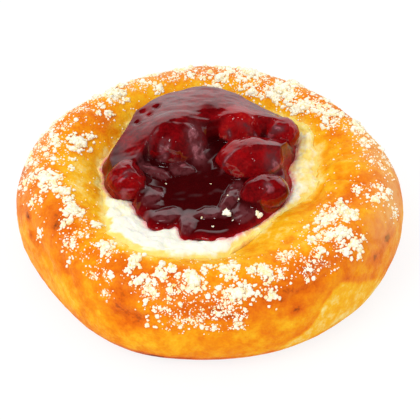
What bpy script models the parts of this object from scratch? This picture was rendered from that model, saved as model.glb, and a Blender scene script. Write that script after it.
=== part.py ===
"""A round sweet bun filled with curd and a heap of glazed cherries, strewn with streusel crumbs.

The bun stands on its flat base at z = 0, with its middle on the z axis. The side where most
of the curd shows faces -Y. All sizes are in metres, and angles in degrees run from +X
towards +Y.
"""

import math
import random

import bmesh
import bpy
from mathutils import Matrix, Vector, noise

# The bun
BUN_RADIUS = 0.0582
BUN_HEIGHT = 0.0320
CREST_RADIUS = 0.0460
WAIST_HEIGHT = 0.0130
BASE_INSET = 0.0090
HOLLOW_RADIUS = 0.0240
HOLLOW_FLOOR = 0.0120
FOOT_FULLNESS = 0.90
SHOULDER_FULLNESS = 0.85
HOLLOW_STEEPNESS = 1.82
GAP = 0.0004
SAUCE_GAP_PROBE = 0.0010
STEEP_ALLOWANCE = 1.8

# How far the bun's outline swells at an angle: angle, spread, amount
BUN_LOBES = (
    (-150.0, 16.0, -0.0018), (-112.0, 14.0, 0.0012), (-90.0, 45.0, -0.0020), (-40.0, 18.0, -0.0005),
    (0.0, 20.0, 0.0014), (42.0, 22.0, -0.0026), (90.0, 20.0, 0.0010), (130.0, 22.0, -0.0022),
    (168.0, 24.0, 0.0022),
)

# How far the ring's crest rises at an angle: angle, spread, amount
CREST_LOBES = (
    (-20.0, 12.0, -0.0006), (0.0, 9.0, 0.0005), (12.0, 9.0, -0.0005), (150.0, 18.0, 0.0010),
    (-135.0, 14.0, -0.0006),
)

# The curd, and the dish that the cherries press into it
CURD_RADIUS = 0.0348
CURD_LEVEL = 0.0265
CURD_RIM = 0.0009
CURD_BULGE = 0.0012
CURD_LUMP = 0.0007
CURD_LUMPS = 11
CURD_BAND = 0.0090
CURD_SHELF = 0.0012
DISH_FLOOR = 0.0207
DISH_START = 0.72
CURD_LOBES = (
    (-128.0, 20.0, 0.0076), (-110.0, 12.0, 0.0036), (-88.0, 12.0, 0.0020), (-42.0, 30.0, -0.0086),
    (0.0, 12.0, -0.0012), (42.0, 16.0, 0.0036), (-178.0, 24.0, -0.0020),
)

# The sauce, an uneven pool whose middle lies left of and behind the bun's
SAUCE_MIDDLE = Vector((-0.0028, 0.0048))
SAUCE_RADIUS = 0.0300
SAUCE_LEVEL = 0.0305
SAUCE_SLOPE = 0.100
SAUCE_LIP = 0.0030
SAUCE_LIP_HEIGHT = 0.0012
SAUCE_LIP_FOOT = 0.35
SAUCE_LOBES = (
    (-135.0, 14.0, -0.0030), (-70.0, 20.0, 0.0005), (-15.0, 14.0, -0.0010), (25.0, 12.0, 0.0010),
    (90.0, 30.0, 0.0012), (180.0, 20.0, 0.0010),
)

# Where the sauce's edge runs out further or falls back, seen from the bun's middle
SAUCE_BAYS = (
    (-92.0, 24.0, 0.0026), (10.0, 10.0, -0.0028), (40.0, 10.0, 0.0026), (-130.0, 8.0, 0.0018),
    (151.0, 15.0, -0.0022),
)

# Whole cherries: middle, half sizes, turn in degrees, share of the fruit that the sauce climbs
CHERRIES = (
    ((-0.0114, 0.0114, 0.0314), (0.0108, 0.0096, 0.0090), 6.0, 0.45),
    ((0.0086, 0.0178, 0.0318), (0.0082, 0.0062, 0.0074), 0.0, 0.45),
    ((0.0122, 0.0032, 0.0308), (0.0104, 0.0074, 0.0080), 6.0, 0.40),
    ((0.0226, 0.0158, 0.0316), (0.0052, 0.0054, 0.0052), 0.0, 0.35),
    ((0.0163, -0.0106, 0.0306), (0.0076, 0.0056, 0.0056), 12.0, 0.35),
    ((-0.0252, -0.0052, 0.0304), (0.0060, 0.0064, 0.0056), 0.0, 0.30),
    ((-0.0035, 0.0270, 0.0320), (0.0084, 0.0054, 0.0062), 0.0, 0.60),
    ((-0.0205, 0.0228, 0.0316), (0.0044, 0.0036, 0.0044), 35.0, 0.45),
)
CHERRY_UNEVEN = 0.045
CHERRY_REACH = 1.22

# Large clumps of streusel: angle, distance from the middle, half width
CLUMPS = (
    (164.0, 0.0420, 0.0034), (-130.0, 0.0474, 0.0028), (131.0, 0.0462, 0.0038), (-72.0, 0.0484, 0.0024),
    (46.0, 0.0426, 0.0032), (60.0, 0.0450, 0.0034), (-28.0, 0.0455, 0.0034), (-95.0, 0.0500, 0.0032),
    (75.0, 0.0480, 0.0032), (-38.0, 0.0490, 0.0030), (186.0, 0.0500, 0.0032), (206.0, 0.0455, 0.0028),
    (34.0, 0.0460, 0.0028), (-84.0, 0.0470, 0.0028),
)

# Drifts of small streusel crumbs: first angle, last angle, inner and outer distance, how many
DRIFTS = (
    (22.0, 90.0, 0.0390, 0.0530, 24),
    (152.0, 222.0, 0.0390, 0.0560, 26),
    (-118.0, -66.0, 0.0430, 0.0535, 22),
    (-52.0, -4.0, 0.0390, 0.0550, 24),
    (118.0, 152.0, 0.0400, 0.0540, 8),
)
CRUMB_SMALLEST = 0.0011
CRUMB_LARGEST = 0.0027
CRUMB_STAND = 0.12
CRUMB_CLEAR = 0.0010
CRUMB_SEED = 17

# How finely the round pieces are divided
SECTORS = 60
FOOT_STEPS = 4
SHOULDER_STEPS = 7
SLOPE_STEPS = 3
HOLLOW_STEPS = 4
SAUCE_STEPS = 8
SHORE_STEPS = (0.0, 0.33, 0.67)
DISH_SHARES = (1.0, 0.93, 0.86, 0.79, 0.72, 0.40)
HALVINGS = 24
PROBE = 0.0003
CHERRY_MERIDIANS = 14
CHERRY_BELTS = 8

ANGLES = [360.0 * index / SECTORS for index in range(SECTORS)]


def swell(angle, lobes):
    """Add up the lobes' amounts at an angle."""
    total = 0.0
    for middle, spread, amount in lobes:
        away = (angle - middle + 180.0) % 360.0 - 180.0
        total += amount * math.exp(-((away / spread) ** 2))
    return total


def ease(low, high, value):
    """Run smoothly from 0 at low to 1 at high."""
    share = min(max((value - low) / (high - low), 0.0), 1.0)
    return share * share * (3.0 - 2.0 * share)


def polar(angle, radius, height):
    """Return the point at an angle, a distance from the middle and a height."""
    turn = math.radians(angle)
    return Vector((radius * math.cos(turn), radius * math.sin(turn), height))


def bun_radius(angle):
    """Return the bun's widest reach at an angle."""
    return BUN_RADIUS + swell(angle, BUN_LOBES)


def crest_height(angle):
    """Return the height of the ring's crest at an angle."""
    return BUN_HEIGHT + swell(angle, CREST_LOBES)


def sauce_radius(angle):
    """Return how far the sauce reaches from the bun's middle at an angle."""
    inner, outer = 0.0, BUN_RADIUS
    for _ in range(HALVINGS):
        middle = (inner + outer) / 2.0
        place = polar(angle, middle, 0.0).to_2d() - SAUCE_MIDDLE
        bearing = math.degrees(math.atan2(place.y, place.x))
        if place.length < SAUCE_RADIUS + swell(bearing, SAUCE_LOBES):
            inner = middle
        else:
            outer = middle
    return inner + swell(angle, SAUCE_BAYS)


def curd_radius(angle):
    """Return how far the curd reaches at an angle, always past the sauce."""
    return max(CURD_RADIUS + swell(angle, CURD_LOBES), sauce_radius(angle) + CURD_SHELF)


def shoulder_height(angle, radius):
    """Return the height of the outer shoulder, between the crest and the widest reach."""
    share = (radius - CREST_RADIUS) / (bun_radius(angle) - CREST_RADIUS)
    turn = math.acos(min(max(share, 0.0), 1.0) ** (1.0 / SHOULDER_FULLNESS))
    return WAIST_HEIGHT + (crest_height(angle) - WAIST_HEIGHT) * math.sin(turn) ** SHOULDER_FULLNESS


def slope_height(angle, radius):
    """Return the height of the inner slope, between the hollow's floor and the crest."""
    share = min(max((CREST_RADIUS - radius) / (CREST_RADIUS - HOLLOW_RADIUS), 0.0), 1.0)
    return crest_height(angle) - (crest_height(angle) - HOLLOW_FLOOR) * share ** HOLLOW_STEEPNESS


def dough_height(angle, radius):
    """Return the height of the bun's top side."""
    if radius > CREST_RADIUS:
        return shoulder_height(angle, radius)
    return slope_height(angle, radius)


def hollow_rings(lift):
    """Return rings from the curd's edge down to the hollow's floor, lifted off the dough."""
    rings = []
    for step in range(HOLLOW_STEPS + 1):
        ring = []
        for angle in ANGLES:
            edge = curd_radius(angle)
            radius = edge + (HOLLOW_RADIUS - edge) * step / HOLLOW_STEPS
            here = polar(angle, radius, slope_height(angle, radius))
            if lift:
                rise = slope_height(angle, radius + PROBE) - slope_height(angle, radius - PROBE)
                steep = math.atan2(rise, 2.0 * PROBE)
                here -= polar(angle, lift * math.sin(steep), 0.0)
                here.z += lift * math.cos(steep)
            ring.append(here)
        rings.append(ring)
    return rings


def shore_height(angle):
    """Return the height of the curd where the sauce ends."""
    return max(CURD_LEVEL, slope_height(angle, sauce_radius(angle)) + GAP + CURD_RIM)


def curd_height(angle, radius):
    """Return the height of the curd's top: a dish under the sauce, and lumps round it."""
    edge = sauce_radius(angle)
    outer = curd_radius(angle)
    shore = shore_height(angle)
    if radius <= edge:
        return DISH_FLOOR + (shore - DISH_FLOOR) * ease(DISH_START, 1.0, radius / edge)
    rim = slope_height(angle, outer) + GAP + CURD_RIM
    across = (radius - edge) / (outer - edge)
    level = shore + (rim - shore) * across
    lump = CURD_LUMP * math.sin(math.radians(angle * CURD_LUMPS)) * math.sin(math.pi * across)
    bulge = CURD_BULGE * 4.0 * across * (1.0 - across)
    return level + (bulge + lump) * min((outer - edge) / CURD_BAND, 1.0)


def sauce_height(point):
    """Return the height of the sauce: a pool with a rounded lip, climbing round each cherry."""
    angle = math.degrees(math.atan2(point.y, point.x))
    radius = point.to_2d().length
    inward = min(max((sauce_radius(angle) - radius) / SAUCE_LIP, 0.0), 1.0)
    bed = curd_height(angle, radius) + GAP
    pool = SAUCE_LEVEL + SAUCE_SLOPE * (point.y - SAUCE_MIDDLE.y)
    for middle, half, turn, climb in CHERRIES:
        away = Matrix.Rotation(math.radians(-turn), 2) @ (point.to_2d() - Vector(middle[:2]))
        spread = math.hypot(away.x / half[0], away.y / half[1]) / CHERRY_REACH
        top = middle[2] + climb * half[2]
        pool = max(pool, SAUCE_LEVEL + (top - SAUCE_LEVEL) / (1.0 + spread ** 6))
    lip = SAUCE_LIP_FOOT + (1.0 - SAUCE_LIP_FOOT) * math.sqrt(1.0 - (1.0 - inward) ** 2)
    low = max(bed, shore_height(angle) + GAP) + SAUCE_LIP_HEIGHT * lip
    return low + max(pool - low, 0.0) * ease(0.0, 1.0, inward)


def finish(name, colour, roughness, coat):
    """Return a plain material with a colour, a roughness and a clear coat."""
    material = bpy.data.materials.new(name)
    material.use_nodes = True
    shader = material.node_tree.nodes["Principled BSDF"]
    shader.inputs["Base Color"].default_value = (*colour, 1.0)
    shader.inputs["Metallic"].default_value = 0.0
    shader.inputs["Roughness"].default_value = roughness
    shader.inputs["Coat Weight"].default_value = coat
    return material


def add_piece(name, shape, material=None):
    """Turn a bmesh into a named object with one material."""
    mesh = bpy.data.meshes.new(name)
    shape.to_mesh(mesh)
    shape.free()
    mesh.shade_smooth()
    mesh.set_sharp_from_angle(angle=math.radians(55.0))
    piece = bpy.data.objects.new(name, mesh)
    if material:
        mesh.materials.append(material)
        bpy.context.scene.collection.objects.link(piece)
    return piece


def skin(under, over, low, high):
    """Close a shell from its underside's middle, over the rings, to its top's middle.

    The underside's cells and the top's are split along the same diagonals, so that a piece
    keeps an even gap to what it lies on.
    """
    shape = bmesh.new()
    first = shape.verts.new(low)
    last = shape.verts.new(high)
    rings = [[shape.verts.new(point) for point in ring] for ring in under + over]
    for index in range(SECTORS):
        following = (index + 1) % SECTORS
        shape.faces.new((first, rings[0][following], rings[0][index]))
        shape.faces.new((last, rings[-1][index], rings[-1][following]))
    for number, (near, far) in enumerate(zip(rings, rings[1:])):
        for index in range(SECTORS):
            following = (index + 1) % SECTORS
            if number < len(under) - 1:
                shape.faces.new((near[index], near[following], far[index]))
                shape.faces.new((near[following], far[following], far[index]))
            else:
                shape.faces.new((near[index], near[following], far[following]))
                shape.faces.new((near[index], far[following], far[index]))
    return shape


def dough_shape():
    """Build the bun without its crumbs."""
    under = []
    for step in range(FOOT_STEPS + 1):
        turn = math.pi / 2.0 * step / FOOT_STEPS
        ring = []
        for angle in ANGLES:
            radius = bun_radius(angle) - BASE_INSET * (1.0 - math.sin(turn) ** FOOT_FULLNESS)
            height = WAIST_HEIGHT * (1.0 - math.cos(turn) ** FOOT_FULLNESS)
            ring.append(polar(angle, radius, height))
        under.append(ring)
    over = []
    for step in range(1, SHOULDER_STEPS + 1):
        turn = math.pi / 2.0 * step / SHOULDER_STEPS
        ring = []
        for angle in ANGLES:
            reach = (bun_radius(angle) - CREST_RADIUS) * max(math.cos(turn), 0.0) ** SHOULDER_FULLNESS
            rise = (crest_height(angle) - WAIST_HEIGHT) * math.sin(turn) ** SHOULDER_FULLNESS
            ring.append(polar(angle, CREST_RADIUS + reach, WAIST_HEIGHT + rise))
        over.append(ring)
    for step in range(1, SLOPE_STEPS):
        ring = []
        for angle in ANGLES:
            radius = CREST_RADIUS + (curd_radius(angle) - CREST_RADIUS) * step / SLOPE_STEPS
            ring.append(polar(angle, radius, slope_height(angle, radius)))
        over.append(ring)
    over.extend(hollow_rings(0.0))
    return skin(under, over, Vector((0.0, 0.0, 0.0)), Vector((0.0, 0.0, HOLLOW_FLOOR)))


def curd_top_rings():
    """Return the curd's rings that show, from its edge to the sauce, and the ones under the sauce."""
    shown = []
    for step in SHORE_STEPS:
        ring = []
        for angle in ANGLES:
            outer = curd_radius(angle)
            radius = outer + (sauce_radius(angle) - outer) * step
            ring.append(polar(angle, radius, curd_height(angle, radius)))
        shown.append(ring)
    covered = []
    for share in DISH_SHARES:
        ring = []
        for angle in ANGLES:
            radius = sauce_radius(angle) * share
            ring.append(polar(angle, radius, curd_height(angle, radius)))
        covered.append(ring)
    return shown, covered


def curd_shape():
    """Build the curd, from the hollow's floor up to the lumps that show."""
    under = hollow_rings(GAP)[::-1]
    shown, covered = curd_top_rings()
    low = Vector((0.0, 0.0, HOLLOW_FLOOR + GAP))
    high = Vector((0.0, 0.0, DISH_FLOOR))
    return skin(under, shown + covered, low, high)


def clear_of_curd(point):
    """Lift a point of the curd's top, more where the dish is steep, to keep the gap to it."""
    angle = math.degrees(math.atan2(point.y, point.x))
    radius = point.to_2d().length
    rise = curd_height(angle, radius) - curd_height(angle, radius - SAUCE_GAP_PROBE)
    return point + Vector((0.0, 0.0, GAP * math.hypot(1.0, STEEP_ALLOWANCE * rise / SAUCE_GAP_PROBE)))


def sauce_shape():
    """Build the pool of sauce, before the cherries' sockets are cut."""
    covered = curd_top_rings()[1]
    under = [[clear_of_curd(point) for point in ring] for ring in covered[::-1]]
    over = []
    for step in range(SAUCE_STEPS):
        share = 1.0 - (step / SAUCE_STEPS) ** 1.5
        ring = []
        for angle in ANGLES:
            point = polar(angle, sauce_radius(angle) * share, 0.0)
            point.z = sauce_height(point)
            ring.append(point)
        over.append(ring)
    middle = Vector((0.0, 0.0, sauce_height(Vector((0.0, 0.0001, 0.0)))))
    low = Vector((0.0, 0.0, DISH_FLOOR + GAP))
    return skin(under, over, low, middle)


def cherry_shape(number, grow):
    """Build one fruit, a little uneven, and thicker all round by grow."""
    middle, half, turn, _ = CHERRIES[number]
    shape = bmesh.new()
    bmesh.ops.create_uvsphere(shape, u_segments=CHERRY_MERIDIANS, v_segments=CHERRY_BELTS, radius=1.0)
    offset = Vector((3.7 * number, 1.9, -2.3 * number))
    for vertex in shape.verts:
        uneven = 1.0 + CHERRY_UNEVEN * noise.noise(vertex.co * 1.3 + offset)
        vertex.co = Vector(half) * uneven * vertex.co
    shape.normal_update()
    for vertex in shape.verts:
        vertex.co += vertex.normal * grow
    place = Matrix.Translation(middle) @ Matrix.Rotation(math.radians(turn), 4, "Z")
    bmesh.ops.transform(shape, matrix=place, verts=shape.verts)
    return shape


def surface_normal(angle, radius):
    """Return the direction that the bun's top side faces."""
    turn = math.degrees(PROBE / radius)
    east = polar(angle, radius + PROBE, dough_height(angle, radius + PROBE))
    west = polar(angle, radius - PROBE, dough_height(angle, radius - PROBE))
    north = polar(angle + turn, radius, dough_height(angle + turn, radius))
    south = polar(angle - turn, radius, dough_height(angle - turn, radius))
    return (east - west).cross(north - south).normalized()


def crumb_places():
    """Return angle, distance and half width of each crumb, largest first."""
    places = list(CLUMPS)
    chance = random.Random(CRUMB_SEED)
    for first, last, inner, outer, count in DRIFTS:
        for _ in range(count):
            angle = chance.uniform(first, last)
            radius = chance.uniform(inner, outer)
            size = CRUMB_SMALLEST + (CRUMB_LARGEST - CRUMB_SMALLEST) * chance.random() ** 2
            radius = max(radius, curd_radius(angle) + CRUMB_CLEAR + size)
            radius = min(radius, bun_radius(angle) - size)
            places.append((angle, radius, size))
    return sorted(places, key=lambda place: -place[2])


def crumb_shape(chance, half):
    """Build one rough crumb of a half width round the origin."""
    shape = bmesh.new()
    bmesh.ops.create_icosphere(shape, subdivisions=1, radius=half)
    stretch = Vector((1.0, chance.uniform(0.70, 0.95), chance.uniform(0.60, 0.80)))
    for vertex in shape.verts:
        vertex.co = vertex.co * stretch * chance.uniform(0.80, 1.15)
    return shape


def add_crumbs(dough):
    """Fuse the streusel to the bun with one union."""
    chance = random.Random(CRUMB_SEED + 1)
    crumbs = bpy.data.collections.new("streusel")
    bpy.context.scene.collection.children.link(crumbs)
    for number, (angle, radius, half) in enumerate(crumb_places()):
        normal = surface_normal(angle, radius)
        spin = Matrix.Rotation(chance.uniform(0.0, math.tau), 4, "Z")
        seat = polar(angle, radius, dough_height(angle, radius)) + normal * half * CRUMB_STAND
        place = Matrix.Translation(seat) @ normal.to_track_quat("Z", "Y").to_matrix().to_4x4() @ spin
        shape = crumb_shape(chance, half)
        bmesh.ops.transform(shape, matrix=place, verts=shape.verts)
        crumbs.objects.link(add_piece(f"streusel_{number}", shape))
    union = dough.modifiers.new("streusel", "BOOLEAN")
    union.operation = "UNION"
    union.operand_type = "COLLECTION"
    union.collection = crumbs
    union.solver = "EXACT"
    apply_modifiers(dough)
    for crumb in list(crumbs.objects):
        bpy.data.objects.remove(crumb)
    bpy.data.collections.remove(crumbs)
    keep_largest_shell(dough.data)


def apply_modifiers(piece):
    """Replace a piece's mesh with what its modifiers make of it."""
    graph = bpy.context.evaluated_depsgraph_get()
    mesh = bpy.data.meshes.new_from_object(piece.evaluated_get(graph))
    piece.modifiers.clear()
    piece.data = mesh


def keep_largest_shell(mesh):
    """Drop loose scraps and fill sealed hollows, by keeping only the largest shell."""
    shape = bmesh.new()
    shape.from_mesh(mesh)
    left = set(shape.verts)
    shells = []
    while left:
        reached = {left.pop()}
        edge = list(reached)
        while edge:
            vertex = edge.pop()
            for link in vertex.link_edges:
                other = link.other_vert(vertex)
                if other not in reached:
                    reached.add(other)
                    edge.append(other)
        left -= reached
        shells.append(reached)
    shells.sort(key=len)
    for shell in shells[:-1]:
        bmesh.ops.delete(shape, geom=list(shell), context="VERTS")
    shape.to_mesh(mesh)
    shape.free()


def add_sockets(sauce):
    """Cut a socket round each cherry out of the sauce."""
    sockets = bpy.data.collections.new("sockets")
    bpy.context.scene.collection.children.link(sockets)
    for number in range(len(CHERRIES)):
        sockets.objects.link(add_piece(f"socket_{number + 1}", cherry_shape(number, GAP)))
    cut = sauce.modifiers.new("sockets", "BOOLEAN")
    cut.operation = "DIFFERENCE"
    cut.operand_type = "COLLECTION"
    cut.collection = sockets
    cut.solver = "EXACT"
    apply_modifiers(sauce)
    for socket in list(sockets.objects):
        bpy.data.objects.remove(socket)
    bpy.data.collections.remove(sockets)
    keep_largest_shell(sauce.data)


def main():
    """Clear the scene and build the bun, the curd, the sauce and the cherries."""
    for old in list(bpy.data.objects):
        bpy.data.objects.remove(old)
    crust = finish("crust", (0.72, 0.33, 0.06), 0.35, 0.4)
    curd = finish("curd", (0.92, 0.86, 0.66), 0.55, 0.1)
    sauce = finish("sauce", (0.10, 0.004, 0.012), 0.12, 1.0)
    fruit = finish("cherry", (0.26, 0.010, 0.014), 0.15, 1.0)
    add_crumbs(add_piece("dough", dough_shape(), crust))
    add_piece("curd", curd_shape(), curd)
    add_sockets(add_piece("sauce", sauce_shape(), sauce))
    for number in range(len(CHERRIES)):
        add_piece(f"cherry_{number + 1}", cherry_shape(number, 0.0), fruit)


main()
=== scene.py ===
"""The looks of a round sweet bun with a curd filling, cherries in sauce, and streusel.

The bun stands on z = 0 with its middle on the z axis, and the side where most of the curd
shows faces -Y. Sizes are in metres. Angles are in degrees from +X towards +Y. A place on the
bun's top is given by an angle and by how far it lies outward from the ring's crest, along
the surface.
"""

import itertools
import logging
import math
import random
from collections.abc import Callable
from dataclasses import dataclass
from enum import Enum
from functools import cached_property
from typing import Any

import bpy
import numpy as np
from mathutils import Matrix, Vector
from mathutils.bvhtree import BVHTree


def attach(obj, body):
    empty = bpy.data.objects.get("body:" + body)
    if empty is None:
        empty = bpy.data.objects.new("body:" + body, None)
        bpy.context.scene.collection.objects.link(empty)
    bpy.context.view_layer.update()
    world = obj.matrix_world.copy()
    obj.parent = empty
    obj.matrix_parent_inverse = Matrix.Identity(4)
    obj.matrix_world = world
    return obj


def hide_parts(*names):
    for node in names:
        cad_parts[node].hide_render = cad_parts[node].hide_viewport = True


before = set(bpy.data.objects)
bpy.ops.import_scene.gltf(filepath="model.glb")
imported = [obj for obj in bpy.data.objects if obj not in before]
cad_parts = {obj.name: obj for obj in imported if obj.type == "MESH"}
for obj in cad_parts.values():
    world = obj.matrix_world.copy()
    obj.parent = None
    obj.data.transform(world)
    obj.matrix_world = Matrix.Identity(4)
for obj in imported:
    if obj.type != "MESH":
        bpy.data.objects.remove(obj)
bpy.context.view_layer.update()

BODY = "root"
LOG = logging.getLogger("bun")

# A height over everything, and the way down from it, to find what lies below a place.
ABOVE = 0.06
DOWN = Vector((0.0, 0.0, -1.0))

Array = np.ndarray
Place = tuple[float, float]
Point = tuple[float, float, float]
Colour = tuple[float, float, float]
Lobes = tuple[Point, ...]
Mesh = bpy.types.Mesh
Material = bpy.types.Material
Node = bpy.types.Node
Socket = bpy.types.NodeSocket
Tree = bpy.types.NodeTree


class Slot(Enum):
    """The record's material slots."""

    CRUST = "crust"
    CURD = "curd"
    SAUCE = "sauce"
    CHERRY = "cherry"


class Grade(Enum):
    """How finely a crumb's kind is divided, as steps of an icosphere."""

    DUST = 1
    CRUMB = 2


def ease(low: float, high: float, value: Array) -> Array:
    """Run smoothly from 0 at low to 1 at high.

    Args:
        low: The value up to which the result is 0.
        high: The value from which the result is 1.
        value: The values to look up.

    Returns:
        A share from 0 to 1 for each value.
    """
    share = np.clip((value - low) / (high - low), 0.0, 1.0)
    return share * share * (3.0 - 2.0 * share)


def turn_between(angle: Array, middle: float) -> Array:
    """Return how far each angle lies from a middle angle, from -180 to 180 degrees."""
    return (angle - middle + 180.0) % 360.0 - 180.0


def swell(angle: Array, lobes: Lobes) -> Array:
    """Add up the lobes' amounts at each angle.

    Args:
        angle: Angles in degrees.
        lobes: The middle angle, the spread and the amount of each lobe.

    Returns:
        The sum of the amounts at each angle.
    """
    total = np.zeros_like(angle, dtype=float)
    for middle, spread, amount in lobes:
        total += amount * np.exp(-((turn_between(angle, middle) / spread) ** 2))
    return total


def polar(angle: Array, radius: Array, height: Array) -> Array:
    """Return points at angles, distances from the middle and heights."""
    turn = np.radians(angle)
    flat = radius * np.cos(turn), radius * np.sin(turn)
    return np.stack(np.broadcast_arrays(*flat, height), axis=-1)


def bearing(points: Array) -> Array:
    """Return the angle of each point round the z axis, in degrees."""
    return np.degrees(np.arctan2(points[..., 1], points[..., 0]))


def reach(points: Array) -> Array:
    """Return each point's distance from the z axis."""
    return np.hypot(points[..., 0], points[..., 1])


@dataclass(frozen=True)
class Ripple:
    """Smooth random relief, the same each run.

    Attributes:
        size: The width of the largest bumps.
        seed: Which relief of all the possible ones.
        layers: How many ever finer reliefs are added up.
        fading: How much weaker each finer relief is.
    """

    size: float
    seed: int
    layers: int = 3
    fading: float = 0.5

    def at(self, points: Array) -> Array:
        """Return the relief, about -1 to 1, at each point."""
        chance = np.random.default_rng(self.seed)
        order = chance.permutation(256)
        order = np.concatenate([order, order])
        slopes = chance.normal(size=(256, 3))
        slopes /= np.linalg.norm(slopes, axis=1, keepdims=True)
        place = points.reshape(-1, 3) / self.size
        total = np.zeros(len(place))
        strength = 1.0
        whole = 0.0
        for layer in range(self.layers):
            total += strength * self.single(place + 17.3 * layer, order, slopes)
            whole += strength
            strength *= self.fading
            place = place * 2.03
        return (1.7 * total / whole).reshape(points.shape[:-1])

    @staticmethod
    def single(place: Array, order: Array, slopes: Array) -> Array:
        """Return one layer of relief.

        Args:
            place: Points, measured in bumps.
            order: A shuffled run of 0 to 255, twice over.
            slopes: 256 random directions.

        Returns:
            The relief at each point.
        """
        cell = np.floor(place).astype(int)
        inside = place - cell
        curve = inside ** 3 * (inside * (inside * 6.0 - 15.0) + 10.0)
        total = np.zeros(len(place))
        for corner in itertools.product((0, 1), repeat=3):
            x, y, z = ((cell[:, axis] + corner[axis]) % 256 for axis in range(3))
            index = order[order[order[x] + y] + z]
            weight = np.prod(np.where(np.array(corner) == 1, curve, 1.0 - curve), axis=1)
            total += weight * np.sum(slopes[index] * (inside - np.array(corner)), axis=1)
        return total


@dataclass(frozen=True)
class Grains:
    """Rounded grains that lie side by side, the same each run.

    Attributes:
        size: The width of one grain.
        seed: Which pattern of all the possible ones.
    """

    size: float
    seed: int

    def at(self, points: Array) -> Array:
        """Return 1 on a grain's middle, falling to about 0 between grains, at each point."""
        place = points.reshape(-1, 3) / self.size
        cell = np.floor(place).astype(int)
        nearest = np.full(len(place), 9.0)
        for step in itertools.product((-1, 0, 1), repeat=3):
            near = cell + np.array(step)
            code = (near[:, 0] * 73856093) ^ (near[:, 1] * 19349663) ^ (near[:, 2] * 83492791)
            code = (code + self.seed * 7919) & 0xFFFFFF
            middle = np.stack([(code * prime % 1009) / 1009.0 for prime in (31, 57, 91)], axis=1)
            nearest = np.minimum(nearest, np.linalg.norm(near + middle - place, axis=1))
        return np.clip(1.0 - nearest, 0.0, 1.0).reshape(points.shape[:-1])


def closed_mesh(name: str, rings: Array, low: Array, high: Array) -> Mesh:
    """Close a shell over rings of points, from a lowest middle to a last middle.

    Args:
        name: The mesh's name.
        rings: Points by ring, sector and axis. The rings run up the outside and inward over the top.
        low: The point at the middle of the underside.
        high: The point at the middle of the top.

    Returns:
        A mesh whose faces point outwards.
    """
    count, sectors = rings.shape[:2]
    points = np.concatenate([rings.reshape(-1, 3), [low, high]])
    ring, sector = np.meshgrid(np.arange(count - 1), np.arange(sectors), indexing="ij")
    following = (sector + 1) % sectors
    quads = np.stack([
        ring * sectors + sector, ring * sectors + following,
        (ring + 1) * sectors + following, (ring + 1) * sectors + sector,
    ], axis=-1).reshape(-1, 4)
    around = np.arange(sectors)
    after = (around + 1) % sectors
    base = count * sectors
    first = np.stack([np.full(sectors, base), after, around], axis=1)
    last = np.stack([np.full(sectors, base + 1), base - sectors + around, base - sectors + after], axis=1)
    mesh = bpy.data.meshes.new(name)
    mesh.from_pydata(points.tolist(), [], quads.tolist() + first.tolist() + last.tolist())
    mesh.shade_smooth()
    return mesh


def paint(mesh: Mesh, name: str, values: Array) -> None:
    """Keep one value for each point of a mesh as a named attribute.

    Args:
        mesh: The mesh to write on.
        name: The attribute's name.
        values: One value for each of the first points. The other points get the last value.
    """
    flat = np.asarray(values, dtype=np.float32).reshape(-1)
    spare = len(mesh.vertices) - len(flat)
    flat = np.concatenate([flat, np.full(spare, flat[-1], dtype=np.float32)])
    layer = mesh.attributes.new(name, "FLOAT", "POINT")
    layer.data.foreach_set("value", flat)


def read_points(mesh: Mesh) -> Array:
    """Return the places of a mesh's points."""
    places = np.empty(len(mesh.vertices) * 3, dtype=np.float32)
    mesh.vertices.foreach_get("co", places)
    return places.reshape(-1, 3).astype(float)


def dress(name: str, mesh: Mesh, material: Material, slot: Slot, *nodes: str) -> None:
    """Make a finished piece of a mesh, attach it to the body, and hide the CAD nodes that it replaces.

    Args:
        name: The piece's name.
        mesh: Its mesh, with its place in it.
        material: Its finish, unless the mesh has one.
        slot: The record's slot for its finish. Not used.
        nodes: The CAD nodes that it replaces.
    """
    piece = bpy.data.objects.new(name, mesh)
    if not mesh.materials:
        mesh.materials.append(material)
    bpy.context.scene.collection.objects.link(piece)
    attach(piece, BODY)
    if nodes:
        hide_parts(*nodes)
    LOG.info("%s: %d points, %d faces", name, len(mesh.vertices), len(mesh.polygons))


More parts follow.
